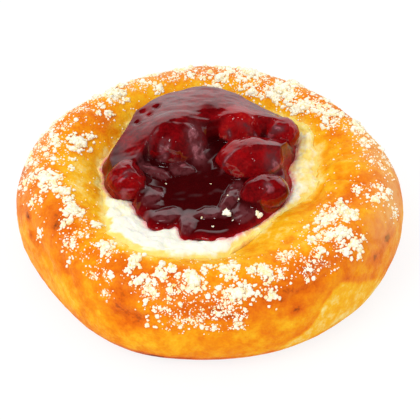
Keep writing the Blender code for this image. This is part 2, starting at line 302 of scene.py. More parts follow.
class Bench:
    """Adds nodes to one node tree and joins them."""

    def __init__(self, tree: Tree) -> None:
        """Start on a tree."""
        self.tree = tree

    def add(self, kind: str, inputs: dict[Any, Any] | None = None, **settings: Any) -> Node:
        """Add a node.

        Args:
            kind: The node's type name.
            inputs: A value or an output to join, by input name or number.
            settings: The node's own settings.

        Returns:
            The new node.
        """
        node = self.tree.nodes.new(kind)
        for name, value in settings.items():
            setattr(node, name, value)
        for key, value in (inputs or {}).items():
            self.put(node.inputs[key], value)
        return node

    def put(self, socket: Socket, value: Any) -> None:
        """Join an output to an input, or set the input's own value."""
        if isinstance(value, Socket):
            self.tree.links.new(value, socket)
        else:
            socket.default_value = value

    def sum(self, operation: str, first: Any, second: Any = 0.0, clamp: bool = False) -> Socket:
        """Return a Math node's result."""
        node = self.add("ShaderNodeMath", {0: first, 1: second}, operation=operation, use_clamp=clamp)
        return node.outputs[0]

    def times(self, first: Any, second: Any) -> Socket:
        """Return the product of two values."""
        return self.sum("MULTIPLY", first, second)

    def vector(self, operation: str, first: Any, second: Any) -> Socket:
        """Return the result of a Vector Math node that takes two vectors."""
        return self.add("ShaderNodeVectorMath", {0: first, 1: second}, operation=operation).outputs[0]

    def scaled(self, vector: Any, scale: Any) -> Socket:
        """Return a vector made longer or shorter."""
        return self.add("ShaderNodeVectorMath", {0: vector, "Scale": scale}, operation="SCALE").outputs[0]

    def vary(self, value: Any, clouds: tuple[tuple[Socket, float], ...], share: Any = None) -> Socket:
        """Shift a value up and down by soft patches, and keep it from 0 to 1.

        Args:
            value: The value to start from.
            clouds: The patches, from 0 to 1, and how far each of them shifts the value.
            share: How much of the shift is kept at each place, or nothing for all of it.

        Returns:
            The shifted value.
        """
        for cloud, amount in clouds:
            change = self.times(self.sum("SUBTRACT", cloud, 0.5), amount)
            value = self.sum("ADD", value, change if share is None else self.times(change, share))
        return self.sum("ADD", value, 0.0, clamp=True)

    def span(self, value: Any, low: float, high: float, start: float = 0.0, end: float = 1.0) -> Socket:
        """Return a value moved from one range to another, and kept inside it."""
        inputs = {"Value": value, "From Min": low, "From Max": high, "To Min": start, "To Max": end}
        return self.add("ShaderNodeMapRange", inputs, interpolation_type="SMOOTHSTEP").outputs[0]

    def mix(self, share: Any, first: Any, second: Any, way: str = "MIX") -> Socket:
        """Return a colour mixed of two."""
        node = self.add("ShaderNodeMix", data_type="RGBA", blend_type=way)
        self.put(node.inputs[0], share)
        for socket, value in ((node.inputs[6], first), (node.inputs[7], second)):
            self.put(socket, (*value, 1.0) if isinstance(value, tuple) and len(value) == 3 else value)
        return node.outputs[2]

    def ramp(self, value: Any, stops: tuple[tuple[float, Colour], ...]) -> Socket:
        """Return the colour that a value from 0 to 1 stands for.

        Args:
            value: The output to look up.
            stops: Positions and their colours, in order.

        Returns:
            The colour's output.
        """
        node = self.add("ShaderNodeValToRGB", {"Fac": value})
        marks = node.color_ramp.elements
        while len(marks) < len(stops):
            marks.new(1.0)
        for mark, (position, colour) in zip(marks, stops):
            mark.position = position
            mark.color = (*colour, 1.0)
        return node.outputs[0]

    def mark(self, name: str) -> Socket:
        """Return a piece's named attribute."""
        return self.add("ShaderNodeAttribute", attribute_name=name, attribute_type="GEOMETRY").outputs["Fac"]


def new_group(name: str, inputs: dict[str, float], outputs: tuple[str, ...]) -> tuple[Bench, Any, Any]:
    """Start a shader node group that gives values.

    Args:
        name: The group's name.
        inputs: The named inputs and their usual values.
        outputs: The named outputs.

    Returns:
        A bench on the group, its input node and its output node.
    """
    tree = bpy.data.node_groups.new(name, "ShaderNodeTree")
    for label, value in inputs.items():
        socket = tree.interface.new_socket(label, in_out="INPUT", socket_type="NodeSocketFloat")
        socket.default_value = value
    for label in outputs:
        tree.interface.new_socket(label, in_out="OUTPUT", socket_type="NodeSocketFloat")
    bench = Bench(tree)
    return bench, bench.add("NodeGroupInput"), bench.add("NodeGroupOutput")


def scaled_place(bench: Bench, given: Node) -> Socket:
    """Return the piece's own coordinates, measured in the given size and shifted by the seed."""
    place = bench.add("ShaderNodeTexCoord").outputs["Object"]
    seed = given.outputs["Seed"]
    shift = bench.add("ShaderNodeCombineXYZ", {"X": seed, "Y": seed, "Z": seed}).outputs[0]
    return bench.vector("ADD", bench.scaled(place, bench.sum("DIVIDE", 1.0, given.outputs["Size"])), shift)


def mottle_group() -> Tree:
    """Build the group that gives soft uneven patches from 0 to 1."""
    bench, given, result = new_group("mottle", {"Size": 0.005, "Seed": 0.0, "Contrast": 0.5}, ("Mask",))
    place = scaled_place(bench, given)
    cloud = bench.add("ShaderNodeTexNoise", {"Vector": place, "Scale": 1.0, "Detail": 3.0, "Roughness": 0.55})
    centred = bench.sum("SUBTRACT", cloud.outputs[0], 0.5)
    stretched = bench.times(centred, bench.times(given.outputs["Contrast"], 6.0))
    bench.put(result.inputs["Mask"], bench.sum("ADD", stretched, 0.5, clamp=True))
    return bench.tree


def speck_group() -> Tree:
    """Build the group that gives small separate specks."""
    bench, given, result = new_group("specks", {"Size": 0.001, "Seed": 0.0, "Width": 0.3}, ("Mask",))
    place = scaled_place(bench, given)
    cells = bench.add("ShaderNodeTexVoronoi", {"Vector": place, "Scale": 1.0, "Randomness": 1.0})
    inside = bench.sum("SUBTRACT", given.outputs["Width"], cells.outputs["Distance"])
    bench.put(result.inputs["Mask"], bench.sum("MULTIPLY", inside, 8.0, clamp=True))
    return bench.tree


def grain_group() -> Tree:
    """Build the group that gives the height of a fine uneven skin."""
    bench, given, result = new_group("skin_grain", {"Size": 0.001, "Seed": 0.0, "Pores": 0.3}, ("Height",))
    place = scaled_place(bench, given)
    rough = bench.add("ShaderNodeTexNoise", {"Vector": place, "Scale": 1.0, "Detail": 4.0, "Roughness": 0.6})
    cells = bench.add("ShaderNodeTexVoronoi", {"Vector": place, "Scale": 1.6}, feature="SMOOTH_F1")
    pores = bench.times(cells.outputs["Distance"], given.outputs["Pores"])
    bench.put(result.inputs["Height"], bench.sum("ADD", rough.outputs[0], pores))
    return bench.tree


@dataclass(frozen=True)
class Workshop:
    """The shader groups that several finishes share.

    Attributes:
        mottle: Soft uneven patches.
        specks: Small separate specks.
        grain: The height of a fine skin.
    """

    mottle: Tree
    specks: Tree
    grain: Tree

    def cloud(self, bench: Bench, size: float, seed: float, contrast: float) -> Socket:
        """Return soft patches of a size, from 0 to 1."""
        values = {"Size": size, "Seed": seed, "Contrast": contrast}
        return bench.add("ShaderNodeGroup", values, node_tree=self.mottle).outputs[0]

    def spots(self, bench: Bench, size: float, seed: float, width: float) -> Socket:
        """Return small specks in cells of a size, each a share of its cell wide."""
        values = {"Size": size, "Seed": seed, "Width": width}
        return bench.add("ShaderNodeGroup", values, node_tree=self.specks).outputs[0]

    def emboss(self, bench: Bench, shader: Node, size: float, seed: float, pores: float, depth: float) -> None:
        """Give a shader the relief of a fine uneven skin.

        Args:
            bench: The bench of the material.
            shader: The shader.
            size: The width of the skin's grain.
            seed: Which relief of all the possible ones.
            pores: How strongly the pores show.
            depth: How deep the relief is, in metres.
        """
        skin = bench.add("ShaderNodeGroup", {"Size": size, "Seed": seed, "Pores": pores}, node_tree=self.grain)
        relief = {"Height": skin.outputs[0], "Strength": 1.0, "Distance": depth}
        bench.put(shader.inputs["Normal"], bench.add("ShaderNodeBump", relief).outputs[0])


def new_material(name: str, **values: Any) -> tuple[Bench, Node, Material]:
    """Start a material on a Principled shader.

    Args:
        name: The material's name.
        values: The shader's plain values, with _ for a space in an input's name.

    Returns:
        A bench on its tree, the shader and the material.
    """
    material = bpy.data.materials.new(name)
    material.use_nodes = True
    shader = material.node_tree.nodes["Principled BSDF"]
    labels = {socket.name.replace(" ", "_"): socket for socket in shader.inputs}
    for label, value in values.items():
        labels[label].default_value = value
    return Bench(material.node_tree), shader, material


@dataclass(frozen=True)
class CrustFinish:
    """Baked, thinly glazed crust, from cream through gold to scorched, with a painted sheen on its outer sides and
    painted shade in its grooves.
    """

    cream: Colour = (0.97, 0.78, 0.26)
    straw: Colour = (0.96, 0.5, 0.012)
    gold: Colour = (0.91, 0.31, 0.002)
    amber: Colour = (0.84, 0.2, 0.002)
    toast: Colour = (0.73, 0.125, 0.001)
    scorch: Colour = (0.2, 0.034, 0.004)
    milk: Colour = (0.98, 0.84, 0.34)
    # pale pink orange: partly the crust's own tone and partly a painted sheen on its outer sides
    blush_and_sheen: Colour = (0.88, 0.3, 0.075)
    flour: Colour = (0.98, 0.86, 0.56)

    def material(self, shop: Workshop) -> Material:
        """Build the material.

        Args:
            shop: The shared shader groups.

        Returns:
            The finished material.
        """
        bench, shader, material = new_material(
            "baked_crust", Coat_Weight=0.06, Coat_Roughness=0.3, Specular_IOR_Level=0.05)
        broad = shop.cloud(bench, 0.0085, 3.0, 0.7)
        middle = shop.cloud(bench, 0.0026, 11.0, 0.8)
        fine = shop.cloud(bench, 0.0008, 23.0, 0.9)
        bake = bench.vary(bench.mark("bake"), ((broad, 0.2), (middle, 0.13), (fine, 0.07)))
        baked = bench.ramp(bake, (
            (0.0, self.cream), (0.22, self.straw), (0.45, self.gold), (0.63, self.amber),
            (0.82, self.toast), (1.0, self.scorch),
        ))
        # patches of the paler pink orange, partly a painted sheen
        rosy_sheen = shop.cloud(bench, 0.0042, 41.0, 0.9)
        baked = bench.mix(bench.times(rosy_sheen, bench.mark("blush_and_sheen")), baked, self.blush_and_sheen)
        baked = bench.mix(bench.mark("milk"), baked, self.milk)
        specks = shop.spots(bench, 0.0009, 5.0, 0.46)
        floured = bench.times(specks, bench.span(bench.mark("strewn"), 0.2, 0.9, 0.0, 0.9))
        bench.put(shader.inputs["Base Color"], bench.mix(floured, baked, self.flour))
        bench.put(shader.inputs["Roughness"], bench.span(middle, 0.0, 1.0, 0.36, 0.55))
        shop.emboss(bench, shader, 0.0011, 2.0, 0.5, 0.00022)
        return material


@dataclass(frozen=True)
class CurdFinish:
    """Moist white curd, yellow where it thins out and pink where the sauce has run in, with painted yellow shade
    between its lumps and a faint painted glow.
    """

    white: Colour = (0.98, 0.95, 0.8)
    # painted shade colour for the creases between the lumps
    hollow: Colour = (0.98, 0.86, 0.44)
    edge: Colour = (0.98, 0.72, 0.17)
    stain: Colour = (0.78, 0.2, 0.24)

    def material(self, shop: Workshop) -> Material:
        """Build the material.

        Args:
            shop: The shared shader groups.

        Returns:
            The finished material.
        """
        bench, shader, material = new_material(
            "curd", Coat_Weight=0.1, Coat_Roughness=0.3, Roughness=0.5, Specular_IOR_Level=0.25,
            Subsurface_Weight=0.7, Subsurface_Radius=(1.0, 0.85, 0.5), Subsurface_Scale=0.001,
            Emission_Strength=0.07)
        cloud = shop.cloud(bench, 0.0022, 7.0, 0.7)
        thin = bench.sum("ADD", bench.mark("thin"), bench.times(cloud, 0.25))
        # painted shade: yellow in the creases between the lumps
        body = bench.mix(bench.mark("crease"), self.white, self.hollow)
        body = bench.mix(bench.span(thin, 0.3, 1.15), body, self.edge)
        bleed = bench.times(bench.mark("stain"), bench.span(cloud, 0.1, 0.8, 0.45, 1.0))
        body = bench.mix(bleed, body, self.stain)
        bench.put(shader.inputs["Base Color"], body)
        # painted light: the curd glows faintly in its own colour, which lifts its shade
        bench.put(shader.inputs["Emission Color"], body)
        shop.emboss(bench, shader, 0.0012, 9.0, 0.6, 0.00025)
        return material


@dataclass(frozen=True)
class SauceFinish:
    """Thick wet cherry sauce, near black where deep and wine red where thin, with painted highlights and a painted
    grey sheen where marked.
    """

    deep: Colour = (0.03, 0.0004, 0.001)
    wine: Colour = (0.16, 0.0016, 0.0032)
    red: Colour = (0.37, 0.004, 0.006)
    rust: Colour = (0.42, 0.038, 0.014)
    # pulp colour: pulp standing out of the sauce, and also a painted grey sheen on it and on the painted highlight
    # places
    pulp: Colour = (0.13, 0.026, 0.031)
    # painted highlight colour: pale mauve painted where the sauce should throw back light
    painted_gleam: Colour = (0.36, 0.11, 0.13)

    def material(self, shop: Workshop) -> Material:
        """Build the material.

        Args:
            shop: The shared shader groups.

        Returns:
            The finished material.
        """
        bench, shader, material = new_material(
            "cherry_sauce", Coat_Weight=1.0, Coat_Roughness=0.045, Roughness=0.3, Specular_IOR_Level=0.0)
        cloud = shop.cloud(bench, 0.003, 13.0, 0.6)
        flecks = shop.cloud(bench, 0.0009, 71.0, 0.9)
        clear = bench.mark("clear")
        clear = bench.vary(clear, ((cloud, 0.24), (flecks, 0.14)), bench.span(clear, 0.05, 0.35, 0.1, 1.0))
        body = bench.ramp(clear, ((0.0, self.deep), (0.35, self.wine), (0.8, self.red), (1.0, self.rust)))
        streaks = shop.cloud(bench, 0.0022, 67.0, 0.7)
        # the pulp mark holds raised pulp up to 1 and painted highlight strength up to 2
        mark = bench.mark("pulp")
        # dull pulp colour, partly the pulp's own colour and partly a painted grey sheen
        dull = bench.times(bench.sum("MINIMUM", mark, 1.0), bench.span(streaks, 0.15, 0.5, 0.5, 1.0))
        # painted highlight where the mark goes past 1, in flecks
        painted_highlight = bench.times(bench.span(mark, 0.95, 1.6), bench.span(flecks, 0.3, 0.75, 0.45, 1.0))
        bench.put(shader.inputs["Base Color"], bench.mix(painted_highlight, bench.mix(dull, body, self.pulp), self.painted_gleam))
        bench.put(shader.inputs["Coat Weight"], bench.mark("wet"))
        shop.emboss(bench, shader, 0.0016, 19.0, 0.4, 0.0002)
        return material


@dataclass(frozen=True)
class FruitFinish:
    """Soft cooked cherry skin, wet, from bright red to nearly black, with painted highlights where marked."""

    dark: Colour = (0.06, 0.0008, 0.0015)
    red: Colour = (0.2, 0.002, 0.003)
    bright: Colour = (0.4, 0.0045, 0.0055)
    pale: Colour = (0.62, 0.07, 0.06)
    # painted highlight colour, painted where the skin should throw back light
    painted_gleam: Colour = (0.36, 0.1, 0.125)

    def material(self, shop: Workshop) -> Material:
        """Build the material.

        Args:
            shop: The shared shader groups.

        Returns:
            The finished material.
        """
        bench, shader, material = new_material(
            "cherry_skin", Coat_Weight=1.0, Coat_Roughness=0.06, Roughness=0.3, Specular_IOR_Level=0.0)
        broad = shop.cloud(bench, 0.0034, 29.0, 0.6)
        fine = shop.cloud(bench, 0.0009, 31.0, 0.8)
        tone = bench.vary(bench.mark("ripe"), ((broad, 0.26), (fine, 0.16)))
        body = bench.ramp(tone, ((0.0, self.dark), (0.35, self.red), (0.75, self.bright), (1.0, self.pale)))
        # painted highlight: the skin is made paler where the sauce's highlight places reach it
        painted_highlight = bench.times(bench.span(bench.mark("painted_shine"), 0.3, 1.7), bench.span(broad, 0.2, 0.8, 0.55, 1.0))
        bench.put(shader.inputs["Base Color"], bench.mix(painted_highlight, body, self.painted_gleam))
        patches = shop.cloud(bench, 0.003, 61.0, 0.9)
        wet = bench.times(bench.mark("wet"), bench.span(patches, 0.25, 0.75, 0.55, 1.0))
        bench.put(shader.inputs["Coat Weight"], wet)
        shop.emboss(bench, shader, 0.0016, 37.0, 0.3, 0.0001)
        return material


@dataclass(frozen=True)
class CrumbFinish:
    """Pale streusel, creamy with some crumbs and patches yellower, and a faint painted glow that lifts its shade.
    """

    cream: Colour = (0.99, 0.94, 0.74)
    butter: Colour = (0.98, 0.76, 0.26)
    powder: Colour = (0.99, 0.98, 0.9)

    def material(self, shop: Workshop) -> Material:
        """Build the material.

        Args:
            shop: The shared shader groups.

        Returns:
            The finished material.
        """
        bench, shader, material = new_material(
            "streusel", Roughness=0.75, Specular_IOR_Level=0.1, Sheen_Weight=0.6, Sheen_Roughness=0.5,
            Emission_Strength=0.1)
        tone = bench.sum("ADD", bench.mark("tone"), bench.times(shop.cloud(bench, 0.0016, 43.0, 0.8), 0.6))
        body = bench.mix(bench.span(tone, 0.5, 1.5), self.cream, self.butter)
        body = bench.mix(bench.times(shop.cloud(bench, 0.0006, 47.0, 0.9), 0.6), body, self.powder)
        bench.put(shader.inputs["Base Color"], body)
        # painted light: the crumbs glow faintly in their own colour, which lifts their shade
        bench.put(shader.inputs["Emission Color"], body)
        shop.emboss(bench, shader, 0.0007, 53.0, 0.5, 0.0002)
        return material


@dataclass(frozen=True)
class Zone:
    """A soft patch on the bun's top.

    Attributes:
        angle: The angle of its middle.
        along: How far its middle lies outward from the ring's crest, along the surface.
        turn: Its spread round the ring, in degrees.
        width: Its spread across the ring.
        amount: Its strength.
    """

    angle: float
    along: float
    turn: float
    width: float
    amount: float

    def at(self, angle: Array, along: Array) -> Array:
        """Return the patch's strength at places on the bun's top."""
        round_it = (turn_between(angle, self.angle) / self.turn) ** 2
        across = ((along - self.along) / self.width) ** 2
        return self.amount * np.exp(-round_it - across)


@dataclass(frozen=True)
class Crease:
    """A soft groove or ridge in the crust, straight from one place to another.

    Attributes:
        start: The angle and the outward distance from the crest of its start.
        end: The same of its end.
        width: Its half width.
        depth: How deep it goes, or below 0 how high a ridge stands.
    """

    start: Place
    end: Place
    width: float
    depth: float

    def at(self, angle: Array, along: Array, radius: float) -> Array:
        """Return the depth at places on the bun's top, laid flat at a distance from the middle."""
        across = np.radians(turn_between(angle, self.start[0])) * radius
        run = np.array([math.radians(self.end[0] - self.start[0]) * radius, self.end[1] - self.start[1]])
        offset = np.stack([across, along - self.start[1]], axis=-1)
        share = np.clip(offset @ run / (run @ run), 0.0, 1.0)
        away = np.linalg.norm(offset - share[..., None] * run, axis=-1)
        return self.depth * np.exp(-((away / self.width) ** 2))


@dataclass(frozen=True)
class Filling:
    """How far the curd and the sauce reach, and how high the crust stands at the curd's edge.

    The lobes, bays and scallops give a middle angle, a spread and an amount in metres.
    """

    curd_radius: float = 0.0348
    curd_level: float = 0.0265
    curd_rise: float = 0.62
    level_reach: float = 0.035
    shelf: float = 0.0012
    curd_lobes: Lobes = (
        (-128, 20, 0.0076), (-110, 12, 0.0036), (-88, 12, 0.002), (-42, 30, -0.0086),
        (0, 12, -0.0012), (42, 16, 0.0036), (-178, 24, -0.002),
    )
    sauce_middle: Place = (-0.0028, 0.0048)
    sauce_radius: float = 0.03
    sauce_lobes: Lobes = (
        (-135, 14, -0.003), (-70, 20, 0.0005), (-15, 14, -0.001), (25, 12, 0.001),
        (90, 30, 0.0012), (180, 20, 0.001),
    )
    sauce_bays: Lobes = (
        (-92, 24, 0.0026), (10, 10, -0.0028), (40, 10, 0.0026), (-130, 8, 0.0018),
        (151, 15, -0.0022),
    )
    scallops: Lobes = (
        (-157, 3.5, -0.0026), (-144, 4, 0.001), (-115, 4.5, -0.0034), (-105, 4, 0.0014),
        (-96, 4, -0.0006), (-82, 6, 0.0008), (67, 4, -0.0006), (98, 5, 0.0007),
        (128, 5, -0.0006), (178, 5, -0.001),
    )

    @cached_property
    def sauce_table(self) -> tuple[Array, Array]:
        """Angles a quarter of a degree apart, and how far the sauce reaches at each."""
        angle = np.arange(-180.0, 180.25, 0.25)
        inner = np.zeros_like(angle)
        outer = np.full_like(angle, 0.06)
        for _ in range(24):
            middle = (inner + outer) / 2.0
            place = polar(angle, middle, 0.0)[..., :2] - np.array(self.sauce_middle)
            inside = reach(place) < self.sauce_radius + swell(bearing(place), self.sauce_lobes)
            inner = np.where(inside, middle, inner)
            outer = np.where(inside, outer, middle)
        return angle, inner + swell(angle, self.sauce_bays) + swell(angle, self.scallops)

    def sauce_edge(self, angle: Array) -> Array:
        """Return how far the sauce reaches from the bun's middle at each angle."""
        angles, edge = self.sauce_table
        return np.interp(turn_between(np.asarray(angle, dtype=float), 0.0), angles, edge)

    def curd_edge(self, angle: Array) -> Array:
        """Return how far the curd reaches at each angle, always past the sauce."""
        angle = np.asarray(angle, dtype=float)
        return np.maximum(self.curd_radius + swell(angle, self.curd_lobes), self.sauce_edge(angle) + self.shelf)

    def edge_height(self, angle: Array) -> Array:
        """Return how high the crust stands where the curd ends at each angle."""
        return self.curd_level + self.curd_rise * np.maximum(self.curd_edge(angle) - self.level_reach, 0.0)


@dataclass
class Bun:
    """The bun: a raised ring round a hollow, with its crust."""

    filling: Filling
    radius: float = 0.0582
    height: float = 0.032
    crest_radius: float = 0.046
    waist_height: float = 0.013
    base_inset: float = 0.009
    hollow_radius: float = 0.022
    hollow_floor: float = 0.012
    foot_fullness: float = 0.9
    shoulder_fullness: float = 0.85
    slope_fullness: float = 1.6
    crease_radius: float = 0.052
    streak_radius: float = 0.04
    streak_stretch: float = 0.12
    under_curd: float = 0.002
    sectors: int = 540
    foot_rings: int = 16
    shoulder_rings: int = 56
    slope_rings: int = 34
    hollow_rings: int = 5
    outline_lobes: Lobes = (
        (-150, 16, -0.0018), (-112, 14, 0.0012), (-90, 45, -0.002), (-40, 18, -0.0005),
        (0, 20, 0.0014), (42, 22, -0.0026), (90, 20, 0.001), (130, 22, -0.0022),
        (168, 24, 0.0022),
    )
    crest_lobes: Lobes = (
        (-20, 12, -0.0006), (0, 9, 0.0005), (12, 9, -0.0005), (150, 18, 0.001),
        (-135, 14, -0.0006),
    )
    unbaked_lobes: Lobes = ((-50.0, 11.0, 0.0195), (-34.0, 12.0, 0.013), (-66.0, 6.0, 0.006))
    creases: tuple[Crease, ...] = (
        Crease((-112.5, 0.0195), (-117, 0.021), 0.0026, 0.0014),
        Crease((-111, 0.014), (-116, 0.0148), 0.0022, -0.001),
        Crease((-108, 0.0165), (-112, 0.0225), 0.0009, 0.0004),
        Crease((-110, 0.006), (-115, 0.0125), 0.0006, 0.0004),
        Crease((-112, 0.005), (-118, 0.0095), 0.0006, 0.0004),
        Crease((-22, -0.015), (-2, -0.012), 0.0011, 0.0007),
        Crease((-2, -0.012), (-9, 0.001), 0.001, 0.0008),
        Crease((4, -0.008), (1, -0.001), 0.002, -0.0009),
        Crease((12, -0.009), (10, -0.0005), 0.001, 0.0006),
        Crease((19, -0.008), (18, 0), 0.0011, 0.0005),
        Crease((148, -0.006), (152, 0.003), 0.0045, -0.0009),
        Crease((158, -0.007), (163, -0.001), 0.0022, 0.0006),
        Crease((-146, 0.012), (-138, 0.015), 0.0022, 0.0007),
        Crease((-30, 0.011), (-22, 0.016), 0.0016, 0.0006),
        Crease((-64, 0.0125), (-50, 0.0105), 0.0012, 0.0006),
        Crease((60, 0.008), (80, 0.009), 0.0018, 0.0005),
        Crease((200, 0.015), (212, 0.018), 0.0018, 0.0005),
    )
    browning: tuple[Zone, ...] = (
        Zone(-114, 0.0192, 6, 0.0042, 0.27), Zone(-118, 0.015, 2.6, 0.005, 0.21),
        Zone(-155, 0.007, 9, 0.0045, 0.2), Zone(-86, 0.0135, 18, 0.0036, 0.2),
        Zone(-66, 0.01, 9, 0.004, 0.2),
        Zone(-52, 0.0065, 8, 0.003, 0.16), Zone(-108, 0.0035, 7, 0.0035, 0.14),
        Zone(146, -0.004, 9, 0.005, 0.24), Zone(-122, 0.006, 7, 0.004, 0.14),
        Zone(-16, -0.002, 8, 0.003, 0.12), Zone(-21, 0.0165, 3, 0.0016, 0.3),
        Zone(-31, 0.0165, 3.5, 0.0016, 0.28), Zone(-64, 0.0175, 3, 0.0018, 0.3),
        Zone(95, 0.004, 22, 0.005, 0.14), Zone(52, -0.003, 16, 0.004, 0.12),
        Zone(24, -0.004, 6, 0.003, 0.14), Zone(178, 0.014, 14, 0.004, 0.1),
        Zone(-160, 0.017, 3, 0.0016, 0.3), Zone(-166, 0.014, 2.5, 0.0014, 0.28),
    )
    yellowing: tuple[Zone, ...] = (
        Zone(-48, -0.013, 18, 0.005, 0.16), Zone(10, -0.006, 20, 0.005, 0.1),
        Zone(-172, -0.006, 14, 0.0045, 0.14), Zone(-92, -0.003, 14, 0.003, 0.12),
    )
    # Where the crust is paler pink orange on its outer sides: partly its own tone, partly a painted sheen.
    rosy_sheen: tuple[Zone, ...] = (
        Zone(-10, 0.011, 24, 0.008, 0.75), Zone(178, 0.012, 26, 0.006, 0.45),
        Zone(70, 0.006, 40, 0.005, 0.35), Zone(-100, 0.008, 26, 0.004, 0.2),
    )
    dusty: tuple[Zone, ...] = (
        Zone(12, 0.0085, 15, 0.006, 0.42), Zone(112, 0.005, 22, 0.0045, 0.36),
        Zone(70, 0.0085, 20, 0.0045, 0.3), Zone(-14, 0.012, 12, 0.006, 0.36),
        Zone(165, 0.012, 18, 0.0045, 0.2),
    )

    def outline(self, angle: Array) -> Array:
        """Return the bun's widest reach at each angle."""
        return self.radius + swell(angle, self.outline_lobes)

    def crest(self, angle: Array) -> Array:
        """Return the height of the ring's crest at each angle."""
        return self.height + swell(angle, self.crest_lobes)

    def slope(self, angle: Array, radius: Array) -> Array:
        """Return the height of the inner slope, between the hollow's floor and the crest."""
        edge = self.filling.curd_edge(angle)
        brink = self.filling.edge_height(angle)
        top = self.crest(angle)
        above = np.clip((self.crest_radius - radius) / (self.crest_radius - edge), 0.0, 1.0)
        below = np.clip((edge - radius) / (edge - self.hollow_radius), 0.0, 1.0)
        return top - (top - brink) * above ** self.slope_fullness - (brink - self.hollow_floor) * below

    def shoulder(self, angle: Array, radius: Array) -> Array:
        """Return the height of the outer shoulder, between the crest and the widest reach."""
        share = np.clip((radius - self.crest_radius) / (self.outline(angle) - self.crest_radius), 0.0, 1.0)
        turn = np.arccos(share ** (1.0 / self.shoulder_fullness))
        rise = self.crest(angle) - self.waist_height
        return self.waist_height + rise * np.sin(turn) ** self.shoulder_fullness

    def top(self, angle: Array, radius: Array) -> Array:
        """Return the height of the bun's top side."""
        outside = radius > self.crest_radius
        return np.where(outside, self.shoulder(angle, radius), self.slope(angle, radius))

    def place(self, angle: float, radius: float) -> Array:
        """Return the point on the bun's top at an angle and a distance from the middle."""
        turn, away = np.array(angle), np.array(radius)
        return polar(turn, away, self.top(turn, away))

    def upward(self, angle: float, radius: float) -> Array:
        """Return the direction that the bun's top faces at one place."""
        step = 0.0003
        turned = math.degrees(step / radius)
        outward = self.place(angle, radius + step) - self.place(angle, radius - step)
        onward = self.place(angle + turned, radius) - self.place(angle - turned, radius)
        way = np.cross(outward, onward)
        return way / np.linalg.norm(way)

    def rings(self, angle: Array) -> tuple[Array, int]:
        """Lay out the smooth bun in rings, from the foot over the crest into the hollow.

        Args:
            angle: The angles of the sectors.

        Returns:
            The points by ring and sector, and the number of the ring on the crest.
        """
        found = []
        widest = self.outline(angle)
        for turn in np.linspace(0.0, math.pi / 2.0, self.foot_rings):
            radius = widest - self.base_inset * (1.0 - math.sin(turn) ** self.foot_fullness)
            height = self.waist_height * (1.0 - max(math.cos(turn), 0.0) ** self.foot_fullness)
            found.append(polar(angle, radius, np.full_like(angle, height)))
        for turn in np.linspace(0.0, math.pi / 2.0, self.shoulder_rings + 1)[1:]:
            side = max(math.cos(turn), 0.0) ** self.shoulder_fullness
            rise = math.sin(turn) ** self.shoulder_fullness
            radius = self.crest_radius + (widest - self.crest_radius) * side
            height = self.waist_height + (self.crest(angle) - self.waist_height) * rise
            found.append(polar(angle, radius, height))
        crest = len(found) - 1
        brink = self.filling.curd_edge(angle) - self.under_curd
        legs = ((self.crest_radius, brink, self.slope_rings), (brink, self.hollow_radius, self.hollow_rings))
        for outer, inner, count in legs:
            for step in range(1, count + 1):
                radius = outer + (inner - outer) * step / count
                found.append(polar(angle, radius, self.slope(angle, radius)))
        return np.array(found), crest

    @staticmethod
    def facing(rings: Array) -> Array:
        """Return the direction that each point of the rings faces."""
        across = np.gradient(rings, axis=0)
        around = np.roll(rings, -1, axis=1) - np.roll(rings, 1, axis=1)
        normal = np.cross(around, across)
        return normal / np.maximum(np.linalg.norm(normal, axis=-1, keepdims=True), 1e-12)

    def build(self, smear: Callable[[Array, Array], Array],
              drifts: Callable[[Array, Array, Array], Array]) -> Mesh:
        """Build the bun's mesh with its relief and the marks that its finish reads.

        Args:
            smear: Gives how pale the crust is at an angle and a distance from the middle.
            drifts: Gives how much streusel lies at points, by their angle and outward distance.

        Returns:
            The closed mesh.
        """
        angle = np.arange(self.sectors) * 360.0 / self.sectors
        curd_edge = self.filling.curd_edge(angle)
        rings, crest = self.rings(angle)
        steps = np.linalg.norm(np.diff(rings, axis=0), axis=-1)
        travelled = np.concatenate([np.zeros((1, self.sectors)), np.cumsum(steps, axis=0)])
        along = travelled[crest] - travelled
        turn = np.broadcast_to(angle, along.shape)
        height = rings[..., 2]
        relief = 0.00055 * Ripple(0.015, 1).at(rings) + 0.00016 * Ripple(0.0032, 2, 4).at(rings)
        relief += 0.00007 * Ripple(0.0012, 4, 2).at(rings)
        for crease in self.creases:
            relief -= crease.at(turn, along, self.crease_radius)
        onward = np.radians(turn) * self.streak_radius
        streaks = Ripple(0.0022, 6, 2).at(
            np.stack([onward, along * self.streak_stretch, np.zeros_like(along)], axis=-1))
        relief += 0.00022 * streaks * ease(-0.015, -0.006, along) * (1.0 - ease(0.0, 0.006, along))
        sunk = ease(0.0, 0.006, height) * ease(-0.002, 0.0, reach(rings) - curd_edge)
        shape = rings + self.facing(rings) * (relief * sunk)[..., None]
        shape[..., 2] = np.maximum(shape[..., 2], 0.0)
        mesh = closed_mesh("bun", shape, np.zeros(3), np.array([0.0, 0.0, self.hollow_floor]))
        pale = smear(turn, reach(rings))
        paint(mesh, "bake", self.baking(rings, turn, along, relief, curd_edge) - 0.2 * pale)
        # paler pink orange on the outer sides, partly a painted sheen
        blush_and_sheen = sum(zone.at(turn, along) for zone in self.rosy_sheen)
        paint(mesh, "blush_and_sheen", np.clip(blush_and_sheen, 0.0, 0.9))
        milk = 0.6 * pale ** 2 * ease(-0.3, 0.7, Ripple(0.0032, 15).at(rings))
        dusty = sum(zone.at(turn, along) for zone in self.dusty)
        paint(mesh, "milk", milk + dusty * (0.7 + 0.6 * Ripple(0.0024, 16).at(rings)))
        paint(mesh, "strewn", drifts(rings, turn, along))
        return mesh

